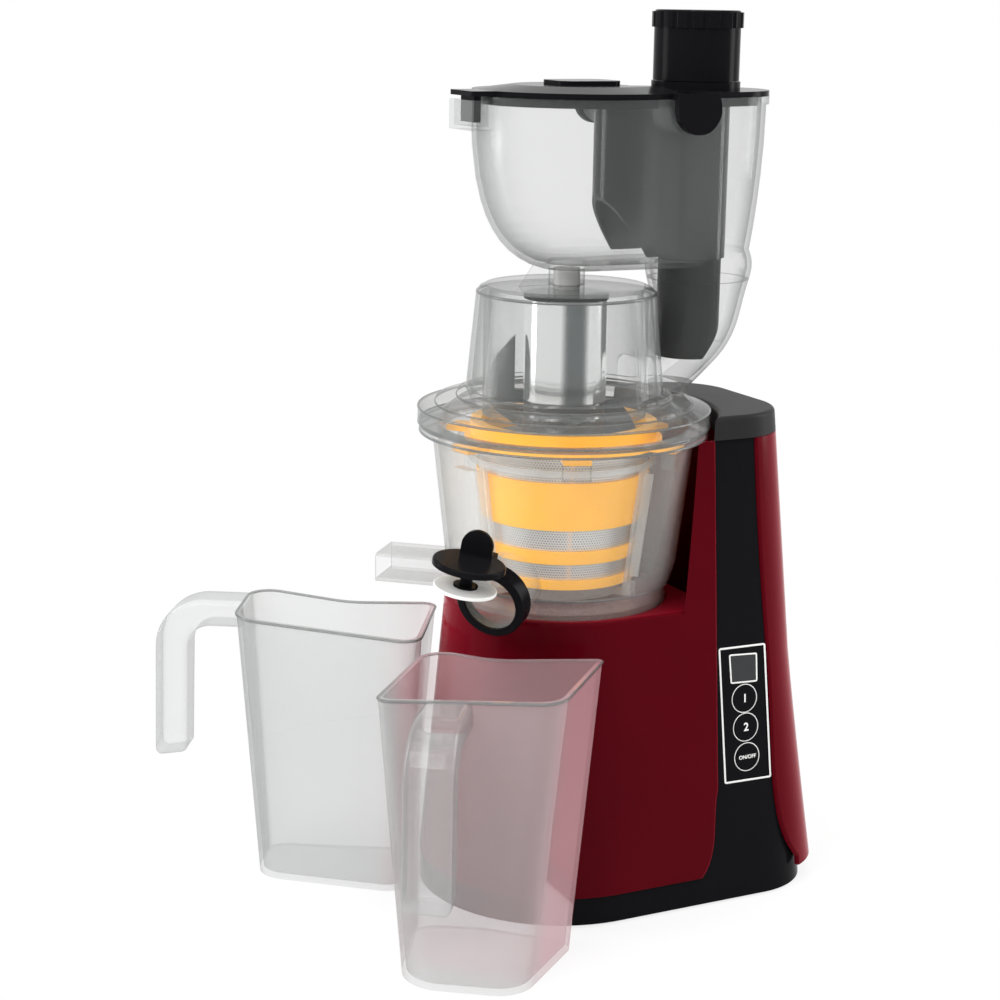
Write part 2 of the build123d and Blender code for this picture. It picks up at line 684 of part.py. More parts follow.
def make_control_board():
    """Circuit board behind the panel, with two ledges that reach it."""
    spot = panel_plane(BOARD_Y, BOARD_Z)
    board = Pos(0, 0, -BOARD_BACK - BOARD_T / 2) * Box(BOARD_W, BOARD_H, BOARD_T)
    reach = BOARD_BACK - SHELL - GAP
    for side in (-1, 1):
        for end in (-1, 1):
            leg = Cylinder(2.0, reach)
            board += Pos(side * (BOARD_W / 2 - 3), end * (BOARD_H / 2 - 3), -BOARD_BACK + reach / 2) * leg
    return spot * board


def make_switches():
    """Tact switches on the board, one behind each button."""
    parts = []
    for key in ("one", "two", "power"):
        spot = panel_plane(PANEL_Y[key], PANEL_Z[key])
        low = -BOARD_BACK + SEAT
        body = Pos(0, 0, low + SWITCH_H / 2) * Box(SWITCH_SIZE, SWITCH_SIZE, SWITCH_H)
        parts.append(spot * body)
    return Compound(children=parts)


def make_rear_cover():
    """Red rear cover: wraps the back, with vent slots and the hole of the cord gland."""
    cover = cover_block(COVER_FOOT, 0.0) & seam_zone(False, SEAM / 2)
    cover = fillet(seam_edges(cover, SEAM_REAR), SHELL_ROUND)
    cover -= cover_block(COVER_FOOT - BITE, SHELL) + housing_block(TOWER_Z - BITE, TOWER_Z + BITE, SHELL)
    cover -= housing_block(COVER_FOOT - BITE, PLINTH_TOP + SEAM, PANEL_SINK - SEAM)
    for row in range(VENT_COUNT):
        z = VENT_Z + row * VENT_PITCH
        high = (z - VENT_WIDTH / 2, z + VENT_WIDTH / 2)
        cover -= block((-VENT_LENGTH / 2, VENT_LENGTH / 2), (REAR_REACH / 2, 2 * REAR_REACH), high)
    cover -= rear_plane(GLAND_Z) * Cylinder(GLAND_R + SEAT, 6 * SHELL)
    inside = cover_block(PLINTH_TOP + SEAM, SHELL / 2)
    for x, y in REAR_SCREWS:
        web = block((x - SHELL / 2, x + SHELL / 2), (y, FAR), (PLINTH_TOP + SEAM, PLINTH_TOP + SCREW_LENGTH))
        boss = cylinder(BOSS_R, PLINTH_TOP + SEAM, PLINTH_TOP + SCREW_LENGTH, x, y) + web
        cover += (boss & inside) - cylinder(SCREW_R, PLINTH_TOP, PLINTH_TOP + SCREW_LENGTH + BITE, x, y)
    return cover


def rear_plane(z):
    """Plane on the outer face of the back wall: its Z points outwards."""
    lean = math.atan(REAR_DRAFT + cover_flare(z - 0.5) - cover_flare(z + 0.5))
    outward = Vector(0, math.cos(lean), math.sin(lean))
    return Plane(origin=(0, REAR_REACH - REAR_DRAFT * z + cover_flare(z), z), x_dir=(1, 0, 0), z_dir=outward)


def make_tower_cap():
    """Dark cap over the tower, hollow below, with rounded top edges and a concave front."""
    cap = housing_block(TOWER_Z + SEAM, CAP_Z) & block((-BASE_R, BASE_R), (0, REAR_REACH), (0, CAP_Z + BITE))
    cap -= cylinder(CAP_HOLLOW_R, TOWER_Z, CAP_Z + BITE)
    top = cap.edges().group_by(Axis.Z)[-1]
    cap = fillet(top, CAP_EDGE)
    void = housing_block(TOWER_Z, CAP_Z - CAP_WALL, CAP_WALL + SHELL)
    void -= cylinder(CAP_HOLLOW_R + CAP_WALL, TOWER_Z - BITE, CAP_Z)
    return cap - void


def make_feet():
    """Five equal rubber feet; the middle one is under the gearbox, on the auger axis."""
    return Compound(
        children=[cylinder(FOOT_R, 0.0, FOOT_GAP + FOOT_SINK - SEAT, x, y) for x, y in FOOT_SPOTS]
    )


def make_screws():
    """Housing screws, driven up from below."""
    screws = []
    for x, y in FRONT_SCREWS + SIDE_SCREWS + REAR_SCREWS:
        head = cylinder(SCREW_HEAD_R, FOOT_GAP + 0.2, FOOT_GAP + SCREW_HEAD_H - SEAT, x, y)
        shank = cylinder(SCREW_R - SEAT, FOOT_GAP + SCREW_HEAD_H - BITE, PLINTH_TOP + SCREW_LENGTH - 2, x, y)
        screws.append(head + shank)
    return Compound(children=screws)


def make_gland():
    """Strain relief of the mains cord: a flanged, tapered sleeve in the back wall."""
    sleeve = turned(
        [
            (GLAND_BORE_R, -SHELL - 3.0),
            (GLAND_R + 2.0, -SHELL - 3.0),
            (GLAND_R + 2.0, -SHELL - 0.2),
            (GLAND_R - SEAT, -SHELL - 0.2),
            (GLAND_R - SEAT, 1.0),
            (GLAND_BORE_R + 1.4, GLAND_LENGTH),
            (GLAND_BORE_R, GLAND_LENGTH),
        ]
    )
    return rear_plane(GLAND_Z) * sleeve


def make_tower_catch():
    """Catch of the safety interlock: a lip on the tower's front, behind the hopper's collar."""
    ring = tube(CAP_HOLLOW_R - SEAT, CAP_HOLLOW_R - CATCH_T, CAP_Z - CATCH_H - CAP_EDGE, CAP_Z - CAP_EDGE)
    return ring & block((-CATCH_W / 2, CATCH_W / 2), (0, FAR), (0, FAR))


# ---------------------------------------------------------------- motor and gearbox
def make_gearbox():
    """Gearbox tray with the bearing seats of the motor and of the two upper shafts."""
    x_in = (GEARBOX_X[0] + GEARBOX_WALL, GEARBOX_X[1] - GEARBOX_WALL)
    y_in = (GEARBOX_Y[0] + GEARBOX_WALL, GEARBOX_Y[1] - GEARBOX_WALL)
    box = block(GEARBOX_X, GEARBOX_Y, (GEARBOX_Z, GEARBOX_TOP))
    box = fillet(box.edges().filter_by(Axis.Z), GEARBOX_CORNER)
    room = block(x_in, y_in, (GEARBOX_Z + GEARBOX_WALL, GEARBOX_TOP + BITE))
    box -= fillet(room.edges().filter_by(Axis.Z), GEARBOX_CORNER - GEARBOX_WALL)
    box -= cylinder(MOTOR_SHAFT_R + 1.5, GEARBOX_Z - BITE, WHEEL_Z[0], MOTOR_X, MOTOR_Y)
    box += cylinder(PIVOT_R + 3.0, GEARBOX_Z, WHEEL_Z[0] - GAP, IDLE_X, IDLE_Y)
    box += cylinder(PIVOT_R, GEARBOX_Z, GEARBOX_TOP, IDLE_X, IDLE_Y)
    box += tube(SHAFT_R + RUN + BEARING_WALL, SHAFT_R + RUN, GEARBOX_Z, WHEEL_Z[0] - GAP)
    return box


def make_gearbox_lid():
    """Lid of the gearbox with the output shaft's upper bearing neck, which centres in the deck."""
    lid = block(GEARBOX_X, GEARBOX_Y, (GEARBOX_TOP, GEARBOX_TOP + GEARBOX_WALL))
    lid = fillet(lid.edges().filter_by(Axis.Z), 8.0)
    lid += cylinder(HUB_R, GEARBOX_TOP + BITE, HUB_TOP)
    lid -= cylinder(SHAFT_R + RUN, GEARBOX_TOP - BITE, HUB_TOP + BITE)
    return lid


def make_drive_gear():
    """Output wheel on its shaft; the upper end is a hexagon that drives the auger."""
    start = IDLE_DIRECTION
    wheel = gear(OUTPUT_TEETH, COARSE_MODULE, *OUTPUT_Z, start)
    shaft = cylinder(SHAFT_R, GEARBOX_Z + GEARBOX_WALL + GAP, SHAFT_ROUND_TOP)
    across = RegularPolygon(HEX_ACROSS / 2, 6, major_radius=False)
    hexagon = extrude(across, SHAFT_TOP - SHAFT_ROUND_TOP + BITE)
    return wheel + shaft + Pos(0, 0, SHAFT_ROUND_TOP - BITE) * hexagon


def make_reduction_gear():
    """Compound wheel: 60 teeth below, 14 coarse teeth above, turning on the gearbox's pivot."""
    big_start = MOTOR_DIRECTION
    small_start = IDLE_DIRECTION + 180 + 180 / SMALL_TEETH
    big = gear(WHEEL_TEETH, FINE_MODULE, *WHEEL_Z, big_start)
    small = gear(SMALL_TEETH, COARSE_MODULE, WHEEL_Z[1] - BITE, OUTPUT_Z[1] + 1.0, small_start)
    body = big + small
    body -= Pos(0, 0, 0) * cylinder(PIVOT_R + RUN, WHEEL_Z[0] - BITE, OUTPUT_Z[1] + 2 * BITE)
    return Pos(IDLE_X, IDLE_Y, 0) * body


def make_rotor_shaft():
    """Motor shaft with the pinion cut on its upper end."""
    pinion = gear(PINION_TEETH, FINE_MODULE, WHEEL_Z[0] - 1.0, MOTOR_SHAFT_Z[1], MOTOR_DIRECTION + 180 + 15)
    shaft = cylinder(MOTOR_SHAFT_R, MOTOR_SHAFT_Z[0], WHEEL_Z[0])
    return Pos(MOTOR_X, MOTOR_Y, 0) * (pinion + shaft)


def make_rotor_core():
    """Laminated rotor pressed on the shaft."""
    r = STATOR_BORE_R - ROTOR_AIR
    return tube(r, MOTOR_SHAFT_R, STATOR_Z[0], STATOR_Z[1], MOTOR_X, MOTOR_Y)


def make_stator():
    """Laminated stator with slots that hold the windings."""
    stack = tube(STATOR_R, STATOR_BORE_R, *STATOR_Z)
    for slot in range(8):
        x, y = polar((WINDING_R[0] + WINDING_R[1]) / 2 + 0.5, slot * 45)
        stack -= Pos(x, y, sum(STATOR_Z) / 2) * Cylinder(3.2, STATOR_Z[1] - STATOR_Z[0] + 2 * BITE)
    return Pos(MOTOR_X, MOTOR_Y, 0) * stack


def make_windings():
    """Copper coil heads above and below the stack, joined by the copper in the slots."""
    low, high = STATOR_Z
    coil = tube(WINDING_R[1], WINDING_R[0], high + SEAT, high + WINDING_H)
    coil += tube(WINDING_R[1], WINDING_R[0], low - WINDING_H, low - SEAT)
    for slot in range(8):
        x, y = polar((WINDING_R[0] + WINDING_R[1]) / 2 + 0.5, slot * 45)
        coil += cylinder(3.2 - SEAT, low - BITE, high + BITE, x, y)
    return Pos(MOTOR_X, MOTOR_Y, 0) * coil


def make_motor_top():
    """Upper end bell of the motor, under the gearbox, with the upper bearing."""
    outer, seat = STATOR_R + MOTOR_FRAME_T, MOTOR_SHAFT_R + RUN
    split = sum(STATOR_Z) / 2 + 0.2
    bell = tube(outer, STATOR_R + SEAT, split, MOTOR_TOP_Z)
    bell += tube(outer, seat, MOTOR_TOP_Z - MOTOR_FRAME_T, MOTOR_TOP_Z)
    bell += tube(seat + BEARING_WALL, seat, MOTOR_TOP_Z - BEARING_T, MOTOR_TOP_Z)
    bell += tube(outer, STATOR_R - 2.0, STATOR_Z[1] + SEAT, STATOR_Z[1] + 3.0)
    return Pos(MOTOR_X, MOTOR_Y, 0) * bell


def make_motor_bottom():
    """Lower end bell of the motor, over the fan, with the lower bearing and air windows."""
    outer, seat = STATOR_R + MOTOR_FRAME_T, MOTOR_SHAFT_R + RUN
    split = sum(STATOR_Z) / 2 - 0.2
    bell = tube(outer, STATOR_R + SEAT, MOTOR_FOOT[0], split)
    bell += tube(outer, seat, *MOTOR_FOOT)
    bell += tube(seat + BEARING_WALL, seat, MOTOR_FOOT[0], MOTOR_FOOT[0] + BEARING_T)
    bell += tube(outer, STATOR_R - 2.0, STATOR_Z[0] - 3.0, STATOR_Z[0] - SEAT)
    for window in range(6):
        x, y = polar(STATOR_R - 6.0, 60 * window + 30)
        bell -= Pos(x, y, MOTOR_FOOT[0]) * Cylinder(4.5, 8.0)
    return Pos(MOTOR_X, MOTOR_Y, 0) * bell


def make_fan():
    """Cooling fan under the motor."""
    low, high = FAN_Z
    hub = tube(7.0, MOTOR_SHAFT_R, low, high)
    disc = tube(FAN_R, MOTOR_SHAFT_R, high - 1.4, high)
    fan = hub + disc
    for blade in range(FAN_BLADES):
        vane = Pos((FAN_R + 6) / 2, 0, (low + high) / 2) * Box(FAN_R - 7, 1.4, high - low)
        fan += Rot(0, 0, 360 * blade / FAN_BLADES) * vane
    return Pos(MOTOR_X, MOTOR_Y, 0) * fan


# ---------------------------------------------------------------- bowl
SPOUT_DIRECTION = polar(1.0, SPOUT_TURN)
SPOUT_OUT = Vector(
    SPOUT_DIRECTION[0] * math.cos(math.radians(SPOUT_SLOPE)),
    SPOUT_DIRECTION[1] * math.cos(math.radians(SPOUT_SLOPE)),
    -math.sin(math.radians(SPOUT_SLOPE)),
)
SPOUT_SIDE = Vector(-SPOUT_DIRECTION[1], SPOUT_DIRECTION[0], 0)
MOUTH = Plane(
    origin=(SPOUT_REACH * SPOUT_DIRECTION[0], SPOUT_REACH * SPOUT_DIRECTION[1], SPOUT_Z),
    x_dir=SPOUT_SIDE,
    z_dir=SPOUT_OUT,
)


def in_mouth(shape):
    """Place a shape that is drawn in the mouth's own axes: Z out of the spout, Y upwards."""
    return MOUTH * shape


def bowl_blank(inset, low, high):
    """Solid of revolution under the bowl's wall, moved inwards by inset, between two heights."""
    heights = [low] + [z for _, z in BOWL_PROFILE if low < z < high] + [high]
    wall = [(bowl_radius(z) - inset, z) for z in heights]
    return turned([(0.0, low)] + wall + [(0.0, high)])


def bowl_radius(z):
    """Outer radius of the bowl's wall at height z."""
    for (r0, z0), (r1, z1) in zip(BOWL_PROFILE, BOWL_PROFILE[1:]):
        if z0 <= z <= z1:
            return r0 + (r1 - r0) * (z - z0) / (z1 - z0)
    return BOWL_PROFILE[-1][0]


def make_bowl():
    """Clear juicing bowl: skirt, floor with a hub, wall, flange, ledge, spout and pulp chute."""
    top = BOWL_PROFILE[-1][1]
    spout = in_mouth(Pos(0, 0, -SPOUT_BACK / 2 - RING_LIP - SEAT) * Cylinder(SPOUT_R, SPOUT_BACK))
    chute_length = CHUTE_END - CHUTE_START
    chute_high = CHUTE_Z[1] - CHUTE_Z[0]
    chute_box = Box(chute_length, CHUTE_W, chute_high)
    chute_box = fillet(chute_box.edges().filter_by(Axis.X), 2.0)
    chute_place = Rot(0, 0, CHUTE_TURN) * Pos((CHUTE_START + CHUTE_END) / 2, 0, sum(CHUTE_Z) / 2)
    body = bowl_blank(0.0, SKIRT_FOOT, top)
    body += cylinder(FLANGE_R, *FLANGE_Z) + turned(
        [(0, top - 4), (FLANGE_WEB[0], top - 4), (FLANGE_WEB[1], FLANGE_Z[0]), (0, FLANGE_Z[0])]
    )
    body += spout + chute_place * chute_box
    body -= bowl_blank(BOWL_WALL, BOWL_FLOOR, top)
    body -= cylinder(BOWL_PROFILE[-1][0] - BOWL_WALL, top - BITE / 2, FLANGE_Z[1] + BITE)
    body -= cylinder(SKIRT_R - BOWL_WALL, SKIRT_FOOT - BITE, BOWL_FLOOR - BOWL_FLOOR_T)
    body -= in_mouth(Pos(0, 0, -SPOUT_BACK / 2) * Cylinder(SPOUT_R - SPOUT_WALL, SPOUT_BACK + 2 * BITE))
    inner = Box(chute_length + 2 * BITE, CHUTE_W - 2 * CHUTE_WALL, chute_high - 2 * CHUTE_WALL)
    body -= chute_place * inner
    body += cylinder(BOWL_HUB_R, BOWL_FLOOR - BOWL_FLOOR_T, BOWL_HUB_TOP)
    body -= cylinder(BOWL_HUB_BORE, SKIRT_FOOT - BITE, BOWL_HUB_TOP + BITE)
    idler = polar(IDLER_PATH_R, 90)
    body += cylinder(2.0, BOWL_FLOOR - BITE, WIPER_Z[1], *idler)
    ledge_ring = bowl_blank(BOWL_WALL / 2, LEDGE_TOP - LEDGE_H, LEDGE_TOP)
    ledge_ring -= cylinder(LEDGE_R, 0, LEDGE_TOP + BITE)
    pad_y = (-STRAINER_TAB_W / 2, STRAINER_TAB_W / 2)
    for pad in range(RIB_COUNT):
        turn = Rot(0, 0, 360 * pad / RIB_COUNT + STRAINER_TURN)
        body += ledge_ring & turn * block((LEDGE_R - BITE, FLANGE_R), pad_y, (0, LEDGE_TOP + BITE))
    return body


def make_spout_ring():
    """Black ring pushed on the spout, with the two ears of the cap's hinge."""
    ring = Pos(0, 0, -RING_DEPTH / 2) * Cylinder(RING_R, RING_DEPTH)
    ring = fillet(ring.edges().group_by(Axis.Z)[-1], 1.2)
    ring -= Pos(0, 0, -RING_LIP - RING_DEPTH / 2) * Cylinder(SPOUT_R + SEAT, RING_DEPTH)
    ring -= Cylinder(SPOUT_R - SPOUT_WALL, 2 * RING_DEPTH)
    root = RING_R - RING_LIP
    corners = [
        (0, root, BITE - RING_DEPTH),
        (0, HINGE_H, HINGE_OUT - KNUCKLE_R),
        (0, HINGE_H, HINGE_OUT),
        (0, HINGE_H - KNUCKLE_R, HINGE_OUT),
        (0, root, -RING_LIP),
    ]
    middle = Pos(HINGE_EAR_T / 2, HINGE_H, HINGE_OUT) * Rot(0, 90, 0)
    ear = extrude(make_face(Polyline(*corners, close=True)), amount=HINGE_EAR_T, dir=(1, 0, 0))
    ear += middle * Cylinder(KNUCKLE_R, HINGE_EAR_T)
    ear -= middle * Cylinder(HINGE_PIN_R, 2 * HINGE_EAR_T)
    near, far = HINGE_PIN_END - HINGE_PIN_L / 2, HINGE_PIN_L / 2 - HINGE_EAR_T - HINGE_PIN_END
    ears = Pos(far, 0, 0) * ear + Pos(near, 0, 0) * ear
    return in_mouth(ring + Rot(0, 0, -HINGE_TILT) * ears)


def make_hinge_pin():
    """Pin of the cap's hinge."""
    pin = Pos(0, HINGE_H, HINGE_OUT) * Rot(0, 90, 0) * Cylinder(HINGE_PIN_R, HINGE_PIN_L)
    return in_mouth(Rot(0, 0, -HINGE_TILT) * pin)


def cap_opened(shape):
    """Swing a shape drawn in the mouth's axes with the cap closed to the open place."""
    tilt = Rot(0, 0, -HINGE_TILT)
    swing = Pos(0, HINGE_H, HINGE_OUT) * Rot(-CAP_OPEN, 0, 0) * Pos(0, -HINGE_H, -HINGE_OUT)
    back = Rot(0, 0, HINGE_TILT)
    return MOUTH * tilt * swing * back * shape


def make_spout_cap():
    """Cap: disc with a thumb tab, stem to the seal and an arm to the hinge, swung open."""
    seal_top = GAP + SEAL_T
    disc_low = seal_top + CAP_AIR
    disc = Pos(0, 0, disc_low + CAP_T / 2) * Cylinder(CAP_R, CAP_T)
    disc = fillet(disc.edges().group_by(Axis.Z)[-1], 1.2)
    stem = Pos(0, 0, (GAP + disc_low + BITE) / 2) * Cylinder(STEM_R, disc_low + BITE - GAP)
    foot = Pos(0, 0, seal_top + 0.6) * Cylinder(STEM_R * 2, 1.2 - SEAT)
    straight = TAB_H - TAB_R
    tab = Pos(0, straight, 0) * Cylinder(TAB_R, TAB_T)
    tab += Pos(0, (straight - BITE) / 2, 0) * Box(2 * TAB_R, straight + BITE, TAB_T)
    tab = Pos(0, CAP_R - TAB_IN, disc_low + CAP_T) * Rot(90, 0, 0) * tab
    width = HINGE_PIN_L - 2 * (HINGE_PIN_END + HINGE_EAR_T + GAP)
    arm = Pos(0, (HINGE_H + CAP_R - 5) / 2, disc_low + 1.0) * Box(width, HINGE_H - CAP_R + 5 + 2 * 1.0, 2.0)
    arm += Pos(0, HINGE_H, (HINGE_OUT + disc_low + 2) / 2) * Box(width, 2.6, disc_low + 2 - HINGE_OUT)
    arm += Pos(0, HINGE_H, HINGE_OUT) * Rot(0, 90, 0) * Cylinder(KNUCKLE_R - 0.2, width)
    arm -= Pos(0, HINGE_H, HINGE_OUT) * Rot(0, 90, 0) * Cylinder(HINGE_PIN_R + RUN, width + 2)
    return cap_opened(disc + stem + foot + tab + Rot(0, 0, -HINGE_TILT) * arm)


def make_cap_seal():
    """White silicone disc held on the cap's stem."""
    seal = Pos(0, 0, GAP + SEAL_T / 2) * Cylinder(SEAL_R, SEAL_T)
    seal = fillet(seal.edges(), 0.6)
    seal -= Pos(0, 0, GAP) * Cylinder(STEM_R + SEAT, 3 * SEAL_T)
    return cap_opened(seal)


def make_bowl_seal():
    """Lip seal in the bowl's hub, round the drive shaft."""
    return tube(BOWL_HUB_BORE - SEAT, SHAFT_R + GAP, BOWL_HUB_TOP - 6.0, BOWL_HUB_TOP - 1.0)


# ---------------------------------------------------------------- strainer, wiper, auger
def make_strainer_frame():
    """Orange frame: top flange with a lip, two bands, foot ring and inner ribs."""
    low, high = STRAINER_TOP
    frame = tube(STRAINER_TOP_R[1], STRAINER_TOP_R[0] - RIB_IN, low, high)
    tab_y = (-STRAINER_TAB_W / 2, STRAINER_TAB_W / 2)
    tab = block((STRAINER_TOP_R[1] - BITE, STRAINER_TAB_R), tab_y, (low, high))
    frame += tube(STRAINER_LIP_R, STRAINER_TOP_R[0] - RIB_IN, high - BITE, STRAINER_LIP_Z)
    frame += tube(STRAINER_FOOT_R[1], STRAINER_FOOT_R[0], *STRAINER_FOOT)
    for band in BANDS:
        frame += cone_shell(MESH_R, BAND_OUT, MESH_T + BAND_IN, *band)
    ribs = cone_shell(MESH_R, -MESH_T, MESH_T + RIB_IN, STRAINER_FOOT[1] - BITE, low + BITE / 2)
    for rib in range(RIB_COUNT):
        turn = Rot(0, 0, 360 * rib / RIB_COUNT + STRAINER_TURN)
        frame += turn * tab
        frame += ribs & turn * block((BOWL_HUB_R, LEDGE_R), (-RIB_W / 2, RIB_W / 2), (0, FAR))
    return frame


def make_mesh():
    """Steel mesh between the frame's rings, as thin conical walls."""
    wall = cone_shell(MESH_R, 0.0, MESH_T, STRAINER_FOOT[1] + SEAT, STRAINER_TOP[0] - SEAT)
    for low, high in BANDS:
        wall -= cylinder(LEDGE_R, low - SEAT, high + SEAT)
    return wall


def make_wiper_frame():
    """Clear wiper frame: ring gear below, three arms along the strainer, ring above."""
    frame = ring_gear(RING_TEETH, WIPER_MODULE, *WIPER_Z, 3.0, WIPER_RIM_R)
    low_r = cone_radius(MESH_R, WIPER_Z[0]) + WIPER_OFF
    spokes = tube(low_r + 6.0, WIPER_RIM_R - BITE, WIPER_Z[0], WIPER_Z[0] + 3.0)
    arms = cone_shell(MESH_R, WIPER_OFF + WIPER_ARM_T, -WIPER_OFF, WIPER_Z[0] + 1.0, WIPER_TOP[1])
    arms += cone_shell(MESH_R, WIPER_OFF + WIPER_ARM_T + 3.0, -WIPER_OFF, WIPER_Z[0], WIPER_Z[0] + 8.0)
    for arm in range(WIPER_ARMS):
        turn = Rot(0, 0, 360 * arm / WIPER_ARMS + WIPER_TURN)
        slab = turn * block((BOWL_HUB_R, FLANGE_R), (-WIPER_ARM_W / 2, WIPER_ARM_W / 2), (0, FAR))
        frame += (arms + spokes) & slab
    frame += cone_shell(MESH_R, WIPER_OFF + WIPER_ARM_T, -WIPER_OFF, *WIPER_TOP)
    return frame


def make_wiper_blades():
    """Silicone lips on the outside of the arms."""
    lips = cone_shell(MESH_R, WIPER_OFF + WIPER_ARM_T + 5.0, -(WIPER_OFF + WIPER_ARM_T + SEAT), 186.0, 245.0)
    blades = []
    for arm in range(WIPER_ARMS):
        turn = Rot(0, 0, 360 * arm / WIPER_ARMS + WIPER_TURN)
        blades.append(lips & turn * block((BOWL_HUB_R, FLANGE_R), (-BLADE_W / 2, BLADE_W / 2), (0, FAR)))
    return Compound(children=blades)


def make_wiper_idler():
    """Idler between the auger's gear and the wiper's ring gear."""
    x, y = polar(IDLER_PATH_R, 90)
    return gear(IDLER_TEETH, WIPER_MODULE, *WIPER_Z, 270 + 15, 2.0 + RUN, x, y)


def make_auger():
    """Auger: gear at the foot, tapered core with helical flights, and a neck for the steel sleeve."""
    flight_top = FLIGHT_Z[1]
    core = turned(
        [(0, CORE_R[0][1]), CORE_R[0], CORE_R[1], (0, CORE_R[1][1])]
    )
    section = Circle(CORE_R[1][0])
    for flight in range(FLIGHTS):
        fin = Pos(35, 0) * Rectangle(70, FLIGHT_W)
        section += Rot(0, 0, 360 * flight / FLIGHTS) * fin
    outline = section & Circle(60)
    twist = Solid.extrude_linear_with_rotation(
        outline.faces()[0], (0, 0, 0), (0, 0, FLIGHT_Z[1] - FLIGHT_Z[0]), FLIGHT_TURN
    )
    inside = MESH_T + RIB_IN + FLIGHT_AIR
    limit = turned(
        [
            (0, FLIGHT_Z[0]),
            (min(cone_radius(MESH_R, FLIGHT_Z[0]) - inside, STRAINER_FOOT_R[0] - FLIGHT_AIR), FLIGHT_Z[0]),
            (STRAINER_FOOT_R[0] - FLIGHT_AIR, STRAINER_FOOT[1] + FLIGHT_AIR),
            (cone_radius(MESH_R, STRAINER_FOOT[1] + 3) - inside, STRAINER_FOOT[1] + 3),
            (cone_radius(MESH_R, STRAINER_TOP[0]) - inside, STRAINER_TOP[0]),
            (SLEEVE_R[0] - 1.0, STRAINER_TOP[0] + 6),
            (SLEEVE_R[0] - 1.0, flight_top),
            (0, flight_top),
        ]
    )
    body = core + (Pos(0, 0, FLIGHT_Z[0]) * twist & limit)
    neck_inner = NECK_R - NECK_WALL - SEAT
    body += cylinder(NECK_R, CORE_R[1][1] - BITE, NECK_Z[0])
    body += cylinder(neck_inner, NECK_Z[0] - BITE, NECK_Z[1])
    body += gear(AUGER_TEETH, WIPER_MODULE, AUGER_FOOT, WIPER_Z[1], 90.0)
    body += cylinder(WIPER_MODULE * AUGER_TEETH / 2 - 1.6, AUGER_FOOT, CORE_R[0][1] + BITE)
    body -= cylinder(BOWL_HUB_R + 0.8, AUGER_FOOT - BITE, BOWL_HUB_TOP + 1.0)
    body -= cylinder(SHAFT_R + 0.6, BOWL_HUB_TOP, SHAFT_ROUND_TOP + 0.5)
    socket = extrude(
        RegularPolygon(HEX_ACROSS / 2 + HEX_CLEAR, 6, major_radius=False), SHAFT_TOP + 2.0 - SHAFT_ROUND_TOP
    )
    body -= Pos(0, 0, SHAFT_ROUND_TOP) * socket
    body -= cylinder(PIN_R + SEAT, NECK_Z[1] - 20.0, NECK_Z[1] + BITE)
    return body


def make_auger_sleeve():
    """Polished steel sleeve round the auger's neck."""
    return tube(NECK_R, NECK_R - NECK_WALL, NECK_Z[0] + SEAT, NECK_Z[1])


def make_auger_top():
    """Black disc on top of the neck and the feed fin beside it, one moulding clipped over the sleeve."""
    disc = tube(NECK_R + 0.4, PIN_R + SEAT, NECK_Z[1] + SEAT, AUGER_TOP)
    return fillet(disc.edges().group_by(Axis.Z)[-1].sort_by(SortBy.RADIUS)[-1:], 0.8)


def make_feed_fin():
    """Black fin that draws the food down beside the neck, joined to it at its foot."""
    near, height = NECK_R + FIN_OFF, FIN_PEAK - FIN_FOOT
    edge = [(near + (FIN_R - near) * across, 0, FIN_FOOT + height * up) for across, up in FIN_EDGE]
    joint = FIN_FOOT + height * FIN_JOINT
    root = [(near, 0, joint), (NECK_R - BITE, 0, joint), (NECK_R - BITE, 0, FIN_FOOT)]
    profile = make_face(Polyline(*(edge + root), close=True))
    fin = extrude(profile, amount=FIN_T / 2, both=True)
    fin -= cylinder(NECK_R + SEAT, FIN_FOOT - BITE, FIN_PEAK + BITE)
    return Rot(0, 0, FIN_TURN) * fin


def make_auger_pin():
    """Steel pin on top of the auger, which turns in the hopper's bush."""
    pin = cylinder(PIN_R, NECK_Z[1] - 19.5, PIN_TOP)
    return fillet(pin.edges().group_by(Axis.Z)[-1], 1.0)


# ---------------------------------------------------------------- hopper
def egg_section(z, front, rear, inset):
    """Plan of the feed bowl: two arcs of different radii joined by their common tangents."""
    (front_r, front_y), (rear_r, rear_y) = front, rear
    front_r, rear_r = front_r - inset, rear_r - inset
    lean = math.asin((front_r - rear_r) / (rear_y - front_y))
    cos, sin = math.cos(lean), math.sin(lean)
    near = (front_r * cos, front_y + front_r * sin)
    far = (rear_r * cos, rear_y + rear_r * sin)
    line = (
        ThreePointArc((-near[0], near[1]), (0, front_y - front_r), near)
        + Line(near, far)
        + ThreePointArc(far, (0, rear_y + rear_r), (-far[0], far[1]))
        + Line((-far[0], far[1]), (-near[0], near[1]))
    )
    return Pos(0, 0, z) * make_face(line)


def feed_bowl(inset, lift, over):
    """Solid of the feed bowl, moved inwards by inset, its bottom raised by lift, its top by over."""
    rings = []
    last = len(HOPPER_SHARES) - 1
    for index, share in enumerate(HOPPER_SHARES):
        z = HOPPER_FOOT + (HOPPER_TOP - HOPPER_FOOT) * share + lift * (1 - index / last)
        swell = (1 - (1 - share) ** HOPPER_ROUNDING) ** (1 / HOPPER_ROUNDING)
        front = (HOPPER_FRONT[0] * swell, HOPPER_FRONT[1] + HOPPER_LEAN * (1 - share))
        grow = 1 - (1 - share) ** 2
        rear = [foot + (rim - foot) * grow for foot, rim in zip(HOPPER_REAR_FOOT, HOPPER_REAR)]
        rings.append(egg_section(z + (over if index == last else 0.0), front, rear, inset))
    return loft(rings, ruled=True)


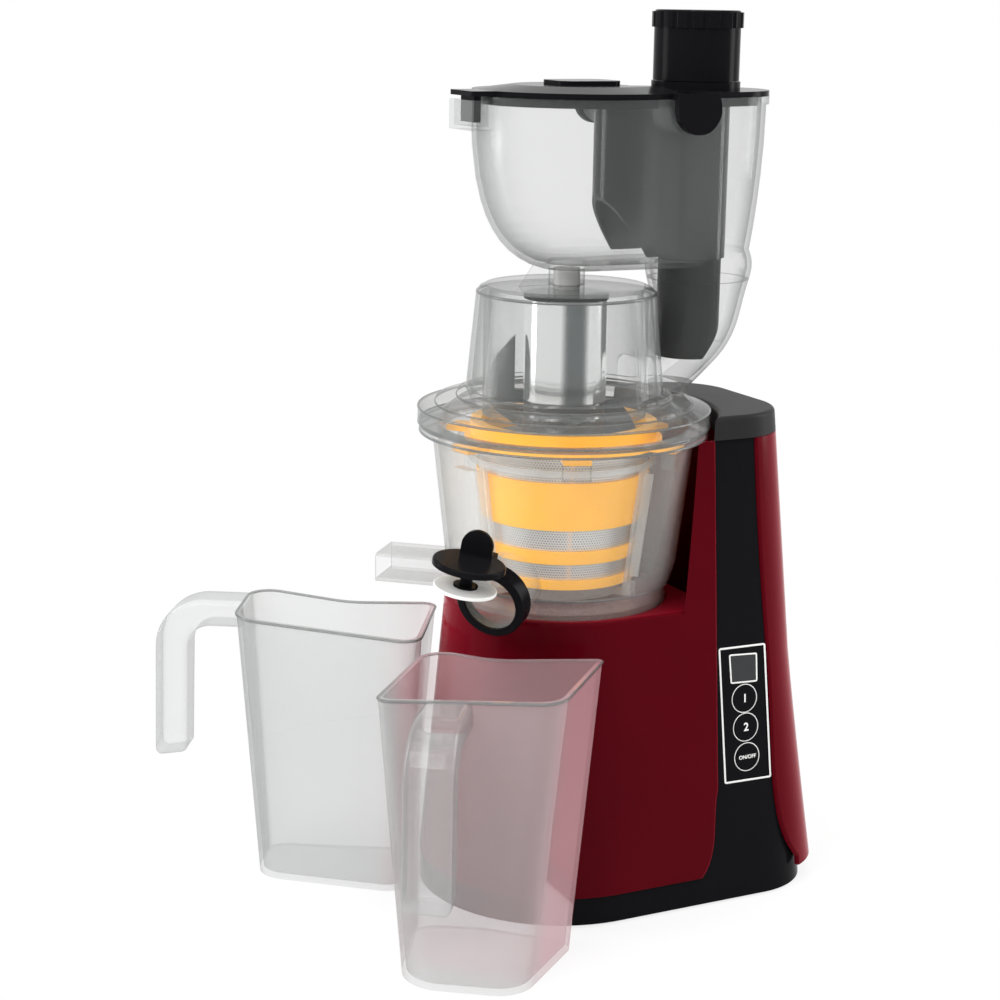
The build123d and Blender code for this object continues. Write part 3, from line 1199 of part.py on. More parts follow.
def feed_chute(inset):
    """Solid of the bent feed chute."""
    low, high = CHUTE_HEIGHT
    rings = []
    for share, radius, y in CHUTE_RINGS:
        rings.append(Pos(0, y, low + (high - low) * share) * Circle(radius - inset))
    return loft(rings)


def throat(grow):
    """Passage from the chute into the dome, made larger by grow."""
    half = THROAT["half_width"] + grow
    y0, y1 = THROAT["y"]
    z0, z1 = THROAT["z"]
    passage = block((-half, half), (y0 + grow * 2, y1), (z0 - grow, z1 + grow))
    return fillet(passage.edges().filter_by(Axis.Y).group_by(Axis.Z)[-1], THROAT["corner"] + grow)


def above_chute_floor():
    """Everything above the sloping floor of the chute."""
    start, end = CHUTE_FLOOR[0][1], CHUTE_FLOOR[-1][1]
    return side_profile(CHUTE_FLOOR + [(FAR, end), (FAR, FAR), (-FAR, FAR), (-FAR, start)], (-FAR, FAR))


def hopper_outside():
    """Everything that the hopper's outer surface encloses."""
    root = COLLAR_STEP[2][1]
    shoulder = [(DOME_R[1][0] - inward, DOME_TOP - down) for inward, down in DOME_ROUND]
    dome = turned([(0, root), (DOME_R[0][0], root)] + DOME_R + shoulder + [(0, DOME_TOP)])
    collar = turned([(0, COLLAR_Z[0]), (COLLAR_R, COLLAR_Z[0])] + COLLAR_STEP + [(0, COLLAR_STEP[-1][1])])
    collar += cylinder(SPIGOT_R, SPIGOT_FOOT, COLLAR_Z[0] + BITE)
    boss = cylinder(BOSS_TOP_R, DOME_TOP - BITE, HOPPER_FOOT + HOPPER_WALL)
    rib = side_profile([(y, DOME_TOP + up) for y, up in GUSSET], (-GUSSET_T / 2, GUSSET_T / 2))
    latch = block((-LATCH_BOX_X, LATCH_BOX_X), LATCH_BOX_Y, LATCH_BOX_Z)
    body = collar + dome + boss + throat(HOPPER_WALL) + feed_chute(0.0) + feed_bowl(0.0, 0.0, 0.0)
    body = body + rib + latch + rim_block(HOPPER_TOP - RIM_BEAD_H, HOPPER_TOP, RIM_BEAD)
    for side in (-1, 1):
        body += along_x(EAR_PIN_R + BOSS_WALL, side * (ear_inner() - EAR_BOSS_L), side * ear_inner())
        body += along_x(EAR_PIN_R, side * ear_inner(), side * (ear_inner() + GAP + EAR_T - EAR_SKIN - GAP))
    return body


def along_x(radius, start, end):
    """Cylinder on the lid's pivot line between two places."""
    return Pos((start + end) / 2, EAR_Y, EAR_Z) * Rot(0, 90, 0) * Cylinder(radius, abs(end - start))


def make_hopper():
    """Clear hopper: collar, dome with its inner sleeve, boss, feed chute, feed bowl and latch box."""
    body = hopper_outside()
    inner_r = SPIGOT_R - COLLAR_WALL
    under, over = COLLAR_Z[1] - COLLAR_WALL, COLLAR_STEP[3][1] - COLLAR_WALL
    foot = SPIGOT_FOOT - BITE
    body -= turned([(0, foot), (inner_r, foot), (inner_r, under), (COLLAR_STEP[4][0], over), (0, over)])
    ceiling = DOME_TOP - 2 * DOME_WALL
    top_r = cone_radius(DOME_R, ceiling) - DOME_WALL
    foot_r = DOME_R[0][0] - DOME_WALL
    body -= turned([(0, over - BITE), (foot_r, over - BITE), (top_r, ceiling), (0, ceiling)])
    body += tube(SLEEVE_R[1], SLEEVE_R[0] - BITE, SLEEVE_FOOT, ceiling + BITE)
    body -= cylinder(SLEEVE_R[0], SLEEVE_FOOT - BITE, DOME_TOP - DOME_WALL)
    body -= (feed_chute(HOPPER_WALL) + throat(0.0)) & above_chute_floor()
    body -= feed_bowl(HOPPER_WALL, HOPPER_WALL, BITE)
    below_rim = block((-FAR, FAR), (-FAR, FAR), (0, HOPPER_TOP - RIM_BEAD_H))
    for side in (-1, 1):
        cup = along_x(EAR_R, side * CUP_X[0], side * (CUP_X[1] + BITE))
        cup -= along_x(EAR_R - CUP_WALL, side * (CUP_X[0] - BITE), side * CUP_X[1])
        body += cup & below_rim & feed_bowl(HOPPER_WALL / 2, 0.0, 0.0)
    body += cylinder(BOSS_TOP_R, HOPPER_FOOT, BOSS_TOP)
    body -= cylinder(BUSH_R, ceiling - BITE, PIN_TOP + BUSH_OVER + SEAT)
    pocket_x = (-LATCH_BOX_X + LATCH_WALL, LATCH_BOX_X - LATCH_WALL)
    pocket_y = (LATCH_BOX_Y[0] + LATCH_WALL, HOPPER_FRONT[1] - HOPPER_FRONT[0] - RIM_BEAD)
    return body - block(pocket_x, pocket_y, (LATCH_BOX_Z[0] + LATCH_WALL, LATCH_BOX_Z[1] + BITE))


def split_hopper(body):
    """The hopper's three mouldings, welded face to face: feed bowl, dome and collar."""
    above = block((-FAR, FAR), (-FAR, FAR), (DOME_TOP, FAR))
    plate_top = COLLAR_STEP[-1][1]
    round_sleeve = tube(FAR, WELD_R, 0, plate_top)
    lower = body - above
    dome = lower - tube(FAR, WELD_R - SEAT, 0, plate_top)
    return body & above, dome, lower & round_sleeve


def make_top_bush():
    """White bush for the auger's pin."""
    low = DOME_TOP - DOME_WALL + 0.2
    return tube(BUSH_R - SEAT, PIN_R + RUN, low, PIN_TOP + BUSH_OVER)


def hopper_half_width(y):
    """Half the width of the feed bowl's rim at a place along Y."""
    (front_r, front_y), (rear_r, rear_y) = HOPPER_FRONT, HOPPER_REAR
    lean = math.asin((front_r - rear_r) / (rear_y - front_y))
    return (front_r - (y - front_y) * math.sin(lean)) / math.cos(lean)


def ear_inner():
    """X of the inner face of the lid's ears, outside the hopper's wall."""
    return hopper_half_width(EAR_Y - EAR_R) + RIM_BEAD + GAP


# ---------------------------------------------------------------- lid, tube, pusher
def rim_block(low, high, over):
    """Slab with the outline of the feed bowl's rim, made larger by over."""
    arcs = (HOPPER_FRONT, HOPPER_REAR)
    return loft([egg_section(low, *arcs, -over), egg_section(high, *arcs, -over)], ruled=True)


def make_lid():
    """Black lid: crowned plate with a rim inside the bowl, ears beside the tube, grip and front hook."""
    low, high = LID_Z
    top = high + LID_CROWN
    arcs = (HOPPER_FRONT, HOPPER_REAR)
    before_end = block((-FAR, FAR), (-FAR, LID_END_Y), (0, FAR))
    notch = block((-LID_NOTCH_X, LID_NOTCH_X), (LID_NOTCH_Y, FAR), (0, FAR))
    plate = rim_block(low, high, LID_OVER)
    crown = [egg_section(high, *arcs, LID_EDGE), egg_section(top, *arcs, LID_EDGE + LID_SLOPE)]
    plate += loft(crown, ruled=True)
    lip = rim_block(low - LIP_H, low + BITE, -HOPPER_WALL - LIP_GAP)
    lip -= rim_block(low - LIP_H - BITE, low, -HOPPER_WALL - LIP_GAP - LIP_T)
    plate += lip & block((-FAR, FAR), (-FAR, LID_END_Y - LIP_SHORT), (0, FAR))
    plate = (plate & before_end) - notch
    grip = block((-GRIP_X, GRIP_X), GRIP_Y, (top - BITE, top + GRIP_T))
    plate += fillet(grip.edges().filter_by(Axis.Z), GRIP_CORNER)
    inner = ear_inner() + GAP
    for side in (-1, 1):
        ear = along_x(EAR_R, side * inner, side * (inner + EAR_T))
        near, far = sorted((side * (inner + EAR_T), side * (inner - EAR_BRIDGE)))
        bridge = block((near, far), (EAR_Y - EAR_R, LID_END_Y), (low, high))
        near, far = sorted((side * inner, side * (inner + EAR_T)))
        reach = block((near, far), (EAR_Y - EAR_R, LID_END_Y), (EAR_Z, high))
        ear = (ear + reach) & block((-FAR, FAR), (-FAR, FAR), (0, high))
        socket = along_x(EAR_PIN_R + RUN, side * (inner - BITE), side * (inner + EAR_T - EAR_SKIN))
        plate += ear + bridge - socket
    tab = block((-LATCH_BOX_X, LATCH_BOX_X), (LATCH_BOX_Y[0], LID_TAB_BACK), (low, high))
    plate += fillet(tab.edges().filter_by(Axis.Z).group_by(Axis.Y)[0], LATCH_WALL)
    hook_y = LATCH_BOX_Y[0] + 2 * LATCH_WALL
    hook_z = (LATCH_BOX_Z[0] + 2 * LATCH_WALL, low + BITE)
    return plate + block((-HOOK_X, HOOK_X), (hook_y, hook_y + HOOK_T), hook_z)


def make_hopper_cover():
    """Black fixed cover over the hopper's rear, round the feed tube, with a tongue towards the lid."""
    low, high = HOPPER_TOP + SEAT, LID_Z[1]
    tongue_x = LID_NOTCH_X - GAP - SEAT
    plate = rim_block(low, high, COVER_OVER)
    zone = block((-FAR, FAR), (REAR_COVER_Y, FAR), (0, FAR))
    plate &= zone + block((-tongue_x, tongue_x), (LID_NOTCH_Y + 2 * GAP, FAR), (0, FAR))
    lip = rim_block(low - LIP_H, low + BITE, -HOPPER_WALL - LIP_GAP / 2)
    lip -= rim_block(low - LIP_H - BITE, low, -HOPPER_WALL - LIP_GAP / 2 - LIP_T)
    plate += lip & block((-FAR, FAR), (REAR_COVER_Y + LIP_H, FAR), (0, FAR))
    plate += cylinder(TUBE_RIM_R, high - BITE, TUBE_RIM_Z, 0, TUBE_Y)
    hole_r = PUSHER_R + TUBE_GAP + TUBE_WALL + SEAT
    return plate - cylinder(hole_r, low - 2 * LIP_H, TUBE_RIM_Z + BITE, 0, TUBE_Y)


def make_feed_tube():
    """Smoky tube that guides the pusher, hung in the cover by its rim."""
    inner = PUSHER_R + TUBE_GAP
    return tube(inner + TUBE_WALL, inner, TUBE_FOOT, TUBE_RIM_Z - 0.5, 0, TUBE_Y)


def make_feed_guide():
    """Smoky half shell in front of the tube that closes it off from the feed bowl."""
    y0, y1 = GUIDE_Y
    outer_r = GUIDE_X
    mid = y0 + outer_r
    shell = cylinder(outer_r, GUIDE_FOOT, HOPPER_TOP, 0, mid) + block(
        (-outer_r, outer_r), (mid, y1), (GUIDE_FOOT, HOPPER_TOP)
    )
    inner_r = outer_r - GUIDE_T
    shell -= cylinder(inner_r, 0, FAR, 0, mid) + block((-inner_r, inner_r), (mid, FAR), (0, FAR))
    top, depth = GUIDE_CUT
    slant = [(y0 - BITE, top), (y0 + depth, GUIDE_FOOT - BITE), (y0 - BITE, GUIDE_FOOT - BITE)]
    shell -= side_profile(slant, (-FAR, FAR))
    shell -= cylinder(PUSHER_R + TUBE_GAP + TUBE_WALL + SEAT, 0, FAR, 0, TUBE_Y)
    return shell


def make_pusher():
    """Pusher: scalloped cap over a closed hollow rod whose foot is cut on a slant."""
    low = TUBE_RIM_Z + GAP
    rod = cylinder(PUSHER_R, PUSHER_FOOT, low + BITE, 0, TUBE_Y)
    low_y, high_y, under = TUBE_Y - BITE, TUBE_Y + PUSHER_R + BITE, PUSHER_FOOT - BITE
    slant = [(low_y, under), (high_y, PUSHER_FOOT + PUSHER_FOOT_CUT), (high_y, under)]
    rod -= side_profile(slant, (-FAR, FAR))
    cap = cylinder(PUSHER_CAP_R, low, PUSHER_TOP, 0, TUBE_Y)
    cap = fillet(cap.edges().group_by(Axis.Z)[-1], 1.5)
    rim = cylinder(PUSHER_RIM_R, PUSHER_TOP - 1.0 - PUSHER_RIM_H, PUSHER_TOP - 1.0, 0, TUBE_Y)
    for notch in range(SCALLOPS):
        x, y = polar(PUSHER_RIM_R + SCALLOP_R * 0.55, 360 * notch / SCALLOPS)
        rim -= cylinder(SCALLOP_R, PUSHER_TOP - 3 * PUSHER_RIM_H, PUSHER_TOP + BITE, x, TUBE_Y + y)
    body = rod + cap + rim
    void = cylinder(PUSHER_R - PUSHER_WALL, PUSHER_FOOT + PUSHER_FOOT_CUT + 4.0, PUSHER_TOP - 4.0, 0, TUBE_Y)
    return body - void


# ---------------------------------------------------------------- jugs
def jug_outline(points, radii, z, inset):
    """Plan of a jug at height z: a polygon with rounded corners, moved inwards by inset."""
    outline = make_face(FilletPolyline(*points, radius=radii, close=True))
    if inset:
        outline = offset(outline, amount=-inset, kind=Kind.ARC)
    return Pos(0, 0, z) * outline


def make_jug(jug):
    """Clear jug: tapered wall between two outlines, and a hook handle open at its lower end."""
    height = jug["height"]
    foot, rim = (jug["foot"], jug["foot_radii"]), (jug["rim"], jug["rim_radii"])
    outer = loft([jug_outline(*foot, 0, 0), jug_outline(*rim, height, 0)], ruled=True)
    share = JUG_FLOOR / height
    low = [(a[0] + (b[0] - a[0]) * share, a[1] + (b[1] - a[1]) * share) for a, b in zip(foot[0], rim[0])]
    over = (height + BITE) / height
    high = [(a[0] + (b[0] - a[0]) * over, a[1] + (b[1] - a[1]) * over) for a, b in zip(foot[0], rim[0])]
    inner = loft(
        [jug_outline(low, foot[1], JUG_FLOOR, JUG_WALL), jug_outline(high, rim[1], height + BITE, JUG_WALL)],
        ruled=True,
    )
    return Rot(0, 0, JUG_TURN) * (outer + make_handle(jug) - inner)


def make_handle(jug):
    """Hook handle: a flat bar out of the rim, bent down into a grip."""
    top = jug["height"] - 0.6
    drop = jug["height"] - jug["handle_drop"]
    back = -14.0
    path = [
        (back, top),
        (HANDLE_OUT, top),
        (HANDLE_OUT + 2.0, drop),
        (HANDLE_OUT + 2.0 - HANDLE_GRIP, drop + 3.0),
        (HANDLE_OUT - HANDLE_GRIP, top - HANDLE_BAR),
        (back, top - HANDLE_BAR),
    ]
    radii = [0.0, HANDLE_BEND, HANDLE_ROUND, HANDLE_ROUND, HANDLE_INNER_BEND, 0.0]
    face = make_face(FilletPolyline(*[(x, 0, z) for x, z in path], radius=radii, close=True))
    bar = extrude(face, amount=HANDLE_W / 2, both=True)
    bar = fillet([e for e in bar.edges() if abs(e.center().Y) > HANDLE_W / 4], HANDLE_ROUND)
    x, y = jug["handle_at"]
    return Pos(x, y, 0) * Rot(0, 0, jug["handle_turn"]) * bar


# ---------------------------------------------------------------- all pieces
def build_base():
    """Housing, controls, motor and gearbox."""
    right, left = make_band()
    node("base_plinth", make_plinth())
    node("rubber_feet", make_feet())
    node("housing_screws", make_screws())
    node("front_shell", make_front_shell())
    node("control_panel", make_right_panel(right))
    node("left_panel", left)
    node("rear_cover", make_rear_cover())
    node("tower_cap", make_tower_cap())
    node("tower_catch", make_tower_catch())
    node("cord_gland", make_gland())
    window = panel_plane(PANEL_Y["display"], PANEL_Z["display"])
    glass = Box(DISPLAY_W - 2 * SEAT, DISPLAY_H - 2 * SEAT, DISPLAY_T - SEAT)
    node("display_window", window * Pos(0, 0, -DISPLAY_T / 2) * glass)
    node("button_one", make_button("one"))
    node("button_two", make_button("two"))
    node("button_power", make_button("power"))
    node("control_board", make_control_board())
    node("tact_switches", make_switches())
    node("motor_top_bell", make_motor_top())
    node("motor_bottom_bell", make_motor_bottom())
    node("motor_stator", make_stator())
    node("motor_windings", make_windings())
    node("rotor_shaft", make_rotor_shaft())
    node("rotor_core", make_rotor_core())
    node("cooling_fan", make_fan())
    node("gearbox_housing", make_gearbox())
    node("gearbox_lid", make_gearbox_lid())
    node("reduction_gear", make_reduction_gear())
    node("drive_gear", make_drive_gear())


def build_bowl():
    """Bowl with its spout, strainer, wiper and auger."""
    node("juicing_bowl", make_bowl())
    node("bowl_seal", make_bowl_seal())
    node("spout_ring", make_spout_ring())
    node("cap_hinge_pin", make_hinge_pin())
    node("spout_cap", make_spout_cap())
    node("cap_seal", make_cap_seal())
    node("strainer_frame", make_strainer_frame())
    node("strainer_mesh", make_mesh())
    node("wiper_frame", make_wiper_frame())
    node("wiper_blades", make_wiper_blades())
    node("wiper_idler", make_wiper_idler())
    node("auger", make_auger())
    node("auger_sleeve", make_auger_sleeve())
    node("auger_top", make_auger_top())
    node("feed_fin", make_feed_fin())
    node("auger_pin", make_auger_pin())


def build_hopper():
    """Hopper, lid, feed tube and pusher."""
    feed_bowl_piece, dome, collar = split_hopper(make_hopper())
    node("hopper", feed_bowl_piece)
    node("hopper_dome", dome)
    node("hopper_collar", collar)
    node("top_bush", make_top_bush())
    node("lid", make_lid())
    node("hopper_cover", make_hopper_cover())
    node("feed_tube", make_feed_tube())
    node("feed_guide", make_feed_guide())
    node("pusher", make_pusher())


def build_jugs():
    """The two jugs."""
    node("pulp_jug", make_jug(PULP_JUG))
    node("juice_jug", make_jug(JUICE_JUG))


build_base()
build_bowl()
build_hopper()
build_jugs()
for name, shape in NODES.items():
    export_step(shape, f"parts/{name}.step")
print(len(NODES), "nodes")
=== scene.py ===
"""Looks of the cold press juicer: finishes of the frame's pieces, moulded details, stage and camera.

Metres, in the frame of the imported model: Z is up and zero on the table, the auger turns about the
Z axis, +Y is the tower side and +X the side with the controls.
"""

import json
import math

import bpy
import numpy as np
from mathutils import Matrix, Vector


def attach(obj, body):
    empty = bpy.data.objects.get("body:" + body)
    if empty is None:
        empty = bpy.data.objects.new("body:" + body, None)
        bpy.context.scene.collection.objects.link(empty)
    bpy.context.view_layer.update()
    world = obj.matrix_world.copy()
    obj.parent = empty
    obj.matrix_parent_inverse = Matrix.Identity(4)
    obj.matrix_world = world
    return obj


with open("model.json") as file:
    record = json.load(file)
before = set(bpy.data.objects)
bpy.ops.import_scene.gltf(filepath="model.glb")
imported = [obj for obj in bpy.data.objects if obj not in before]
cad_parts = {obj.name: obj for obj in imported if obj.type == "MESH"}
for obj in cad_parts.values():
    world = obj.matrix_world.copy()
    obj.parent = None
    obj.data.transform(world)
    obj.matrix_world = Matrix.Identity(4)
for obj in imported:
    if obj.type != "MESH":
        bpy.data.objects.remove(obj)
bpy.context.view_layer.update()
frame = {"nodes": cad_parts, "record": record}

bl_info = {
    "name": "Cold press juicer",
    "version": (1, 0, 0),
    "blender": (4, 5, 0),
    "location": "3D View > Sidebar > Juicer",
    "description": "Finishes, moulded details and stage of a vertical slow juicer",
    "category": "Object",
}

MM = 0.001
TAU = 2 * math.pi

PANEL_DRAFT = 0.0875  # the panel leans in by this much for each unit of height
PANEL_X = 78.6 * MM  # the panel's face at table level
PRINT_THICKNESS = 0.08 * MM
PRINT_CORNER = 0.8 * MM
BEAD_SIZE = 0.8 * MM  # radius of the bead on a jug's rim
BEAD_STEPS = 10  # points round a bead
LETTER_RISE = 0.04 * MM
LETTER_BOLD = 0.02  # share of the letters' size that each outline is widened by

# painted red: the red of the shells behind a clear wall is painted into the wall's colour, in place of the
# red seen through it
PAINTED_RED = (0.95, 0.26, 0.34)
PAINTED_RED_FADE = 30 * MM  # distance over which it fades
JUG_PAINTED_RED = 0.32
BOWL_REAR_PAINTED_RED = 0.25
BOWL_FOOT_PAINTED_RED = 0.6
BOWL_FOOT = (178 * MM, 196 * MM)
BOWL_FOOT_REACH = 50 * MM
PULP_JUG_REACH = 78 * MM
JUICE_JUG_REACH = 138 * MM
BOWL_REAR_REACH = 32 * MM
PAINTED_RED_COVER = 0.25  # how much denser the wall looks there

# the strainer's holes, in shares of their pitch
MESH_R = 0.045  # in metres
MESH_ROW = 0.87
MESH_ROW_SQUARE = 0.76
HOLE_R = 0.27
HOLE_CLEAR = 0.85

STAGE_MIDDLE = (0.0, 0.0, 0.22)
FLOOR_FADE = (0.1, 0.3)  # distances between which the shadow fades
FLOOR_WHITE = (0.8, 1.0)  # share of plain white at those distances
SENSOR_WIDTH = 36.0
CLIP_START = 0.01

# lengths are in millimetres from here on; places on the control panel are (Y, Z)
BUTTONS = {"one": (82.3, 116.2), "two": (83.0, 99.6), "power": (83.7, 82.4)}
LETTERS = [("1", 6.6), ("2", 6.6), ("ON/OFF", 3.1)]
BUTTON_LIFT = 0.66
RING_R = 8.05
RING_WIDTH = 0.5
# turn of the painted reflection line on the polished steel
STEEL_PAINTED_LINE_TURN = math.radians(14.0)
PRINTED_FRAMES = [
    ([(66.1, 146.1), (95.8, 145.7), (99.4, 68.7), (69.4, 69.1)], 1.1),
    ([(72.8, 141.9), (90.4, 140.9), (90.6, 125.2), (73.8, 125.9)], 0.9),
]
JUG_TURN = math.radians(63.5)
JUGS = {  # height, corners of the rim's plan and their radii
    "pulp_jug": (
        152.0, [(-186.0, -2.0), (-78.0, -46.0), (-70.5, 37.0), (-122.0, 36.0), (-181.0, 66.0)],
        [22.0, 10.0, 8.0, 40.0, 12.0]),
    "juice_jug": (
        156.0, [(-96.0, -156.0), (-2.0, -158.0), (22.0, -82.0), (-36.0, -86.0), (-72.0, -68.0)],
        [6.0, 16.0, 2.8, 40.0, 14.0]),
}
BEADS = {  # radius, height and thickness of each bead
    "hopper_beads": [
        (80.8, 276.6, 0.7), (80.8, 268.2, 0.6), (71.6, 279.2, 0.5), (59.8, 283.2, 0.5), (48.9, 340.4, 0.9)],
    "bowl_beads": [(79.9, 266.6, 0.6), (79.9, 263.6, 0.7), (61.2, 181.2, 0.7)],
}


# ---------------------------------------------------------------- settings
class FinishSettings(bpy.types.PropertyGroup):
    """Colours and surface sizes of the finishes."""

    red: bpy.props.FloatVectorProperty(
        name="Red", description="Colour of the housing's shells", subtype="COLOR", size=3, min=0, max=1,
        default=(0.078, 0.0005, 0.0038))
    # painted sheen: the brighter red that the shells are given where they curve away from the camera
    red_painted_sheen: bpy.props.FloatVectorProperty(
        name="Red edge", description="Colour of the shells where they curve away", subtype="COLOR", size=3,
        min=0, max=1, default=(0.34, 0.012, 0.03))
    black: bpy.props.FloatVectorProperty(
        name="Black", description="Colour of the black mouldings", subtype="COLOR", size=3, min=0, max=1,
        default=(0.0065, 0.0065, 0.0075))
    cap_grey: bpy.props.FloatVectorProperty(
        name="Cap grey", description="Colour of the tower's cap", subtype="COLOR", size=3, min=0, max=1,
        default=(0.022, 0.021, 0.022))
    orange: bpy.props.FloatVectorProperty(
        name="Orange", description="Colour of the strainer's frame", subtype="COLOR", size=3, min=0, max=1,
        default=(1.0, 0.46, 0.008))
    # partly painted shade: clear plastic seen along its wall gets this darker colour, partly for its longer
    # path through the plastic, partly in place of refraction
    edge_painted_shade: bpy.props.FloatVectorProperty(
        name="Edge tint", description="Colour of clear plastic seen along its wall", subtype="COLOR", size=3,
        min=0, max=1, default=(0.045, 0.05, 0.048))
    mesh_pitch: bpy.props.FloatProperty(
        name="Mesh pitch", description="Distance between the strainer's holes", unit="LENGTH",
        default=1.6 * MM, min=0.8 * MM, max=4 * MM, precision=5)
    grain: bpy.props.FloatProperty(
        name="Grain", description="Size of the moulded grain on satin plastic", unit="LENGTH",
        default=0.6 * MM, min=0.2 * MM, max=3 * MM, precision=5)


class StageSettings(bpy.types.PropertyGroup):
    """Camera, floor and lamps."""

    camera_place: bpy.props.FloatVectorProperty(
        name="Camera", description="Place of the camera", subtype="TRANSLATION", unit="LENGTH", size=3,
        default=(1.0352, -0.5548, 0.4979))
    camera_aim: bpy.props.FloatVectorProperty(
        name="Aim", description="Direction that the camera looks in", subtype="DIRECTION", size=3,
        default=(-0.8713, 0.4344, -0.2284))
    camera_roll: bpy.props.FloatProperty(
        name="Roll", description="Turn of the camera about its line of sight", subtype="ANGLE",
        default=math.radians(0.9))
    lens: bpy.props.FloatProperty(
        name="Lens", description="Focal length on a 36 mm sensor, in millimetres",
        default=77.4, min=20, max=200)
    floor_size: bpy.props.FloatProperty(
        name="Floor", description="Side of the floor", unit="LENGTH", default=8.0, min=1)
    key_power: bpy.props.FloatProperty(
        name="Key lamp", description="Power of the main lamp in watts", default=26.0, min=0)
    sky: bpy.props.FloatProperty(
        name="Sky", description="Strength of the light from all round", default=0.62, min=0)


# ---------------------------------------------------------------- shader maths
class Wire:
    """A shader socket that takes part in Python expressions; an expression on numbers adds Math nodes."""

    def __init__(self, shader, socket):
        self.shader = shader
        self.socket = socket

    def maths(self, operation, *others):
        """Math node on this socket and others."""
        values = dict(enumerate((self,) + others))
        return self.shader.node("ShaderNodeMath", {"operation": operation}, values)

    def __add__(self, other):
        return self.maths("ADD", other)

    __radd__ = __add__

    def __mul__(self, other):
        return self.maths("MULTIPLY", other)

    __rmul__ = __mul__

    def __sub__(self, other):
        return self.maths("SUBTRACT", other)

    def __rsub__(self, other):
        return self.shader.node("ShaderNodeMath", {"operation": "SUBTRACT"}, {0: other, 1: self})

    def __truediv__(self, other):
        return self.maths("DIVIDE", other)

    def __pow__(self, other):
        return self.maths("POWER", other)

    def __gt__(self, other):
        return self.maths("GREATER_THAN", other)

    def __lt__(self, other):
        return self.maths("LESS_THAN", other)


class Shader:
    """Node tree of one material, or of the world."""

    def __init__(self, name, kind="materials"):
        self.material = getattr(bpy.data, kind).new(name)
        self.material.use_nodes = True
        self.tree = self.material.node_tree
        self.ending = "ShaderNodeOutputWorld" if kind == "worlds" else "ShaderNodeOutputMaterial"
        self.tree.nodes.clear()

    def node(self, kind, settings=None, values=None, output=0):
        """Any node: its settings first, then the values or links of its sockets."""
        node = self.tree.nodes.new(kind)
        for key, value in (settings or {}).items():
            setattr(node, key, value)
        for key, value in (values or {}).items():
            if isinstance(value, Wire):
                self.tree.links.new(value.socket, node.inputs[key])
            else:
                node.inputs[key].default_value = value
        return Wire(self, node.outputs[output]) if len(node.outputs) else None

    def place(self):
        """Object coordinates."""
        return self.node("ShaderNodeTexCoord", output="Object")

    def noise(self, size, detail=2.0, stretch=(1, 1, 1)):
        """Noise between 0 and 1 with features of about the given size in metres."""
        scale = [share / size for share in stretch]
        place = self.node("ShaderNodeMapping", None, {"Vector": self.place(), "Scale": scale})
        return self.node("ShaderNodeTexNoise", None, {"Vector": place, "Scale": 1.0, "Detail": detail})

    def bump(self, height, distance, strength=1.0):
        """Normal from a height between 0 and 1."""
        values = {"Height": height, "Distance": distance, "Strength": strength}
        return self.node("ShaderNodeBump", None, values)

    def blend(self, factor, first, second):
        """Colour between two."""
        mix = self.tree.nodes.new("ShaderNodeMix")
        mix.data_type = "RGBA"
        for key, value in ((0, factor), (6, first), (7, second)):
            if isinstance(value, Wire):
                self.tree.links.new(value.socket, mix.inputs[key])
            else:
                mix.inputs[key].default_value = value if key == 0 else (*value[:3], 1)
        return Wire(self, mix.outputs[2])

    def surface(self, **values):
        """Principled surface; spaces in socket names are written as underscores."""
        names = {key.replace("_", " "): value for key, value in values.items()}
        for key in ("Base Color", "Emission Color"):
            if key in names and not isinstance(names[key], Wire):
                names[key] = (*names[key][:3], 1)
        return self.node("ShaderNodeBsdfPrincipled", None, names)

    def output(self, wire):
        """Ends the tree."""
        self.node(self.ending, None, {"Surface": wire})
        return self.material


# ---------------------------------------------------------------- finishes
def red_plastic(look):
    """Deep glossy red moulding with a faint ripple from the mould and a painted sheen: brighter red where its
    skin is seen along.
    """
    s = Shader("red_moulding_painted_sheen")
    ripple = s.noise(45 * MM, 1.0)
    dust = s.noise(0.35 * MM, 2.0)
    colour = s.blend(ripple, [c * 0.88 for c in look.red], [min(1, c * 1.12) for c in look.red])
    # painted sheen: the colour turns to the brighter red where the surface is seen along
    facing = s.node("ShaderNodeLayerWeight", None, {"Blend": 0.5}, "Facing")
    colour = s.blend(facing ** 2.5, colour, look.red_painted_sheen)
    return s.output(s.surface(
        Base_Color=colour, Roughness=0.14 + ripple * 0.05, Specular_IOR_Level=0.035,
        Normal=s.bump(ripple * 0.97 + dust * 0.03, 0.3 * MM, 0.2)))


def black_plastic(look):
    """Black high-gloss moulding with a trace of fine wiping marks."""
    s = Shader("black_moulding")
    wipe = s.noise(2.2 * MM, 3.0, (1, 1, 0.12))
    wave = s.noise(60 * MM, 1.0)
    return s.output(s.surface(
        Base_Color=look.black, Roughness=0.12 + wipe * 0.09, Specular_IOR_Level=0.02,
        Normal=s.bump(wave, 0.4 * MM, 0.3)))


def satin_grey(look):
    """Dark grey satin moulding with a fine even grain."""
    s = Shader("satin_moulding")
    grain = s.noise(look.grain, 3.0)
    return s.output(s.surface(
        Base_Color=s.blend(grain, [c * 0.8 for c in look.cap_grey], [c * 1.2 for c in look.cap_grey]),
        Roughness=0.34 + grain * 0.12, Specular_IOR_Level=0.05, Normal=s.bump(grain, 0.05 * MM, 0.5)))


def orange_plastic(look):
    """Orange-yellow moulding with a painted glow: it gives off light in its own colour all over."""
    s = Shader("orange_moulding_painted_glow")
    cloud = s.noise(16 * MM, 2.0)
    fine = s.noise(0.5 * MM, 2.0)
    return s.output(s.surface(
        Base_Color=s.blend(cloud, [c * 0.92 for c in look.orange], [min(1, c * 1.06) for c in look.orange]),
        # painted glow: the orange emits light of its own colour, though it is no lamp
        Roughness=0.24 + fine * 0.1, Normal=s.bump(fine, 0.03 * MM, 0.4), Emission_Color=look.orange,
        Emission_Strength=0.3))


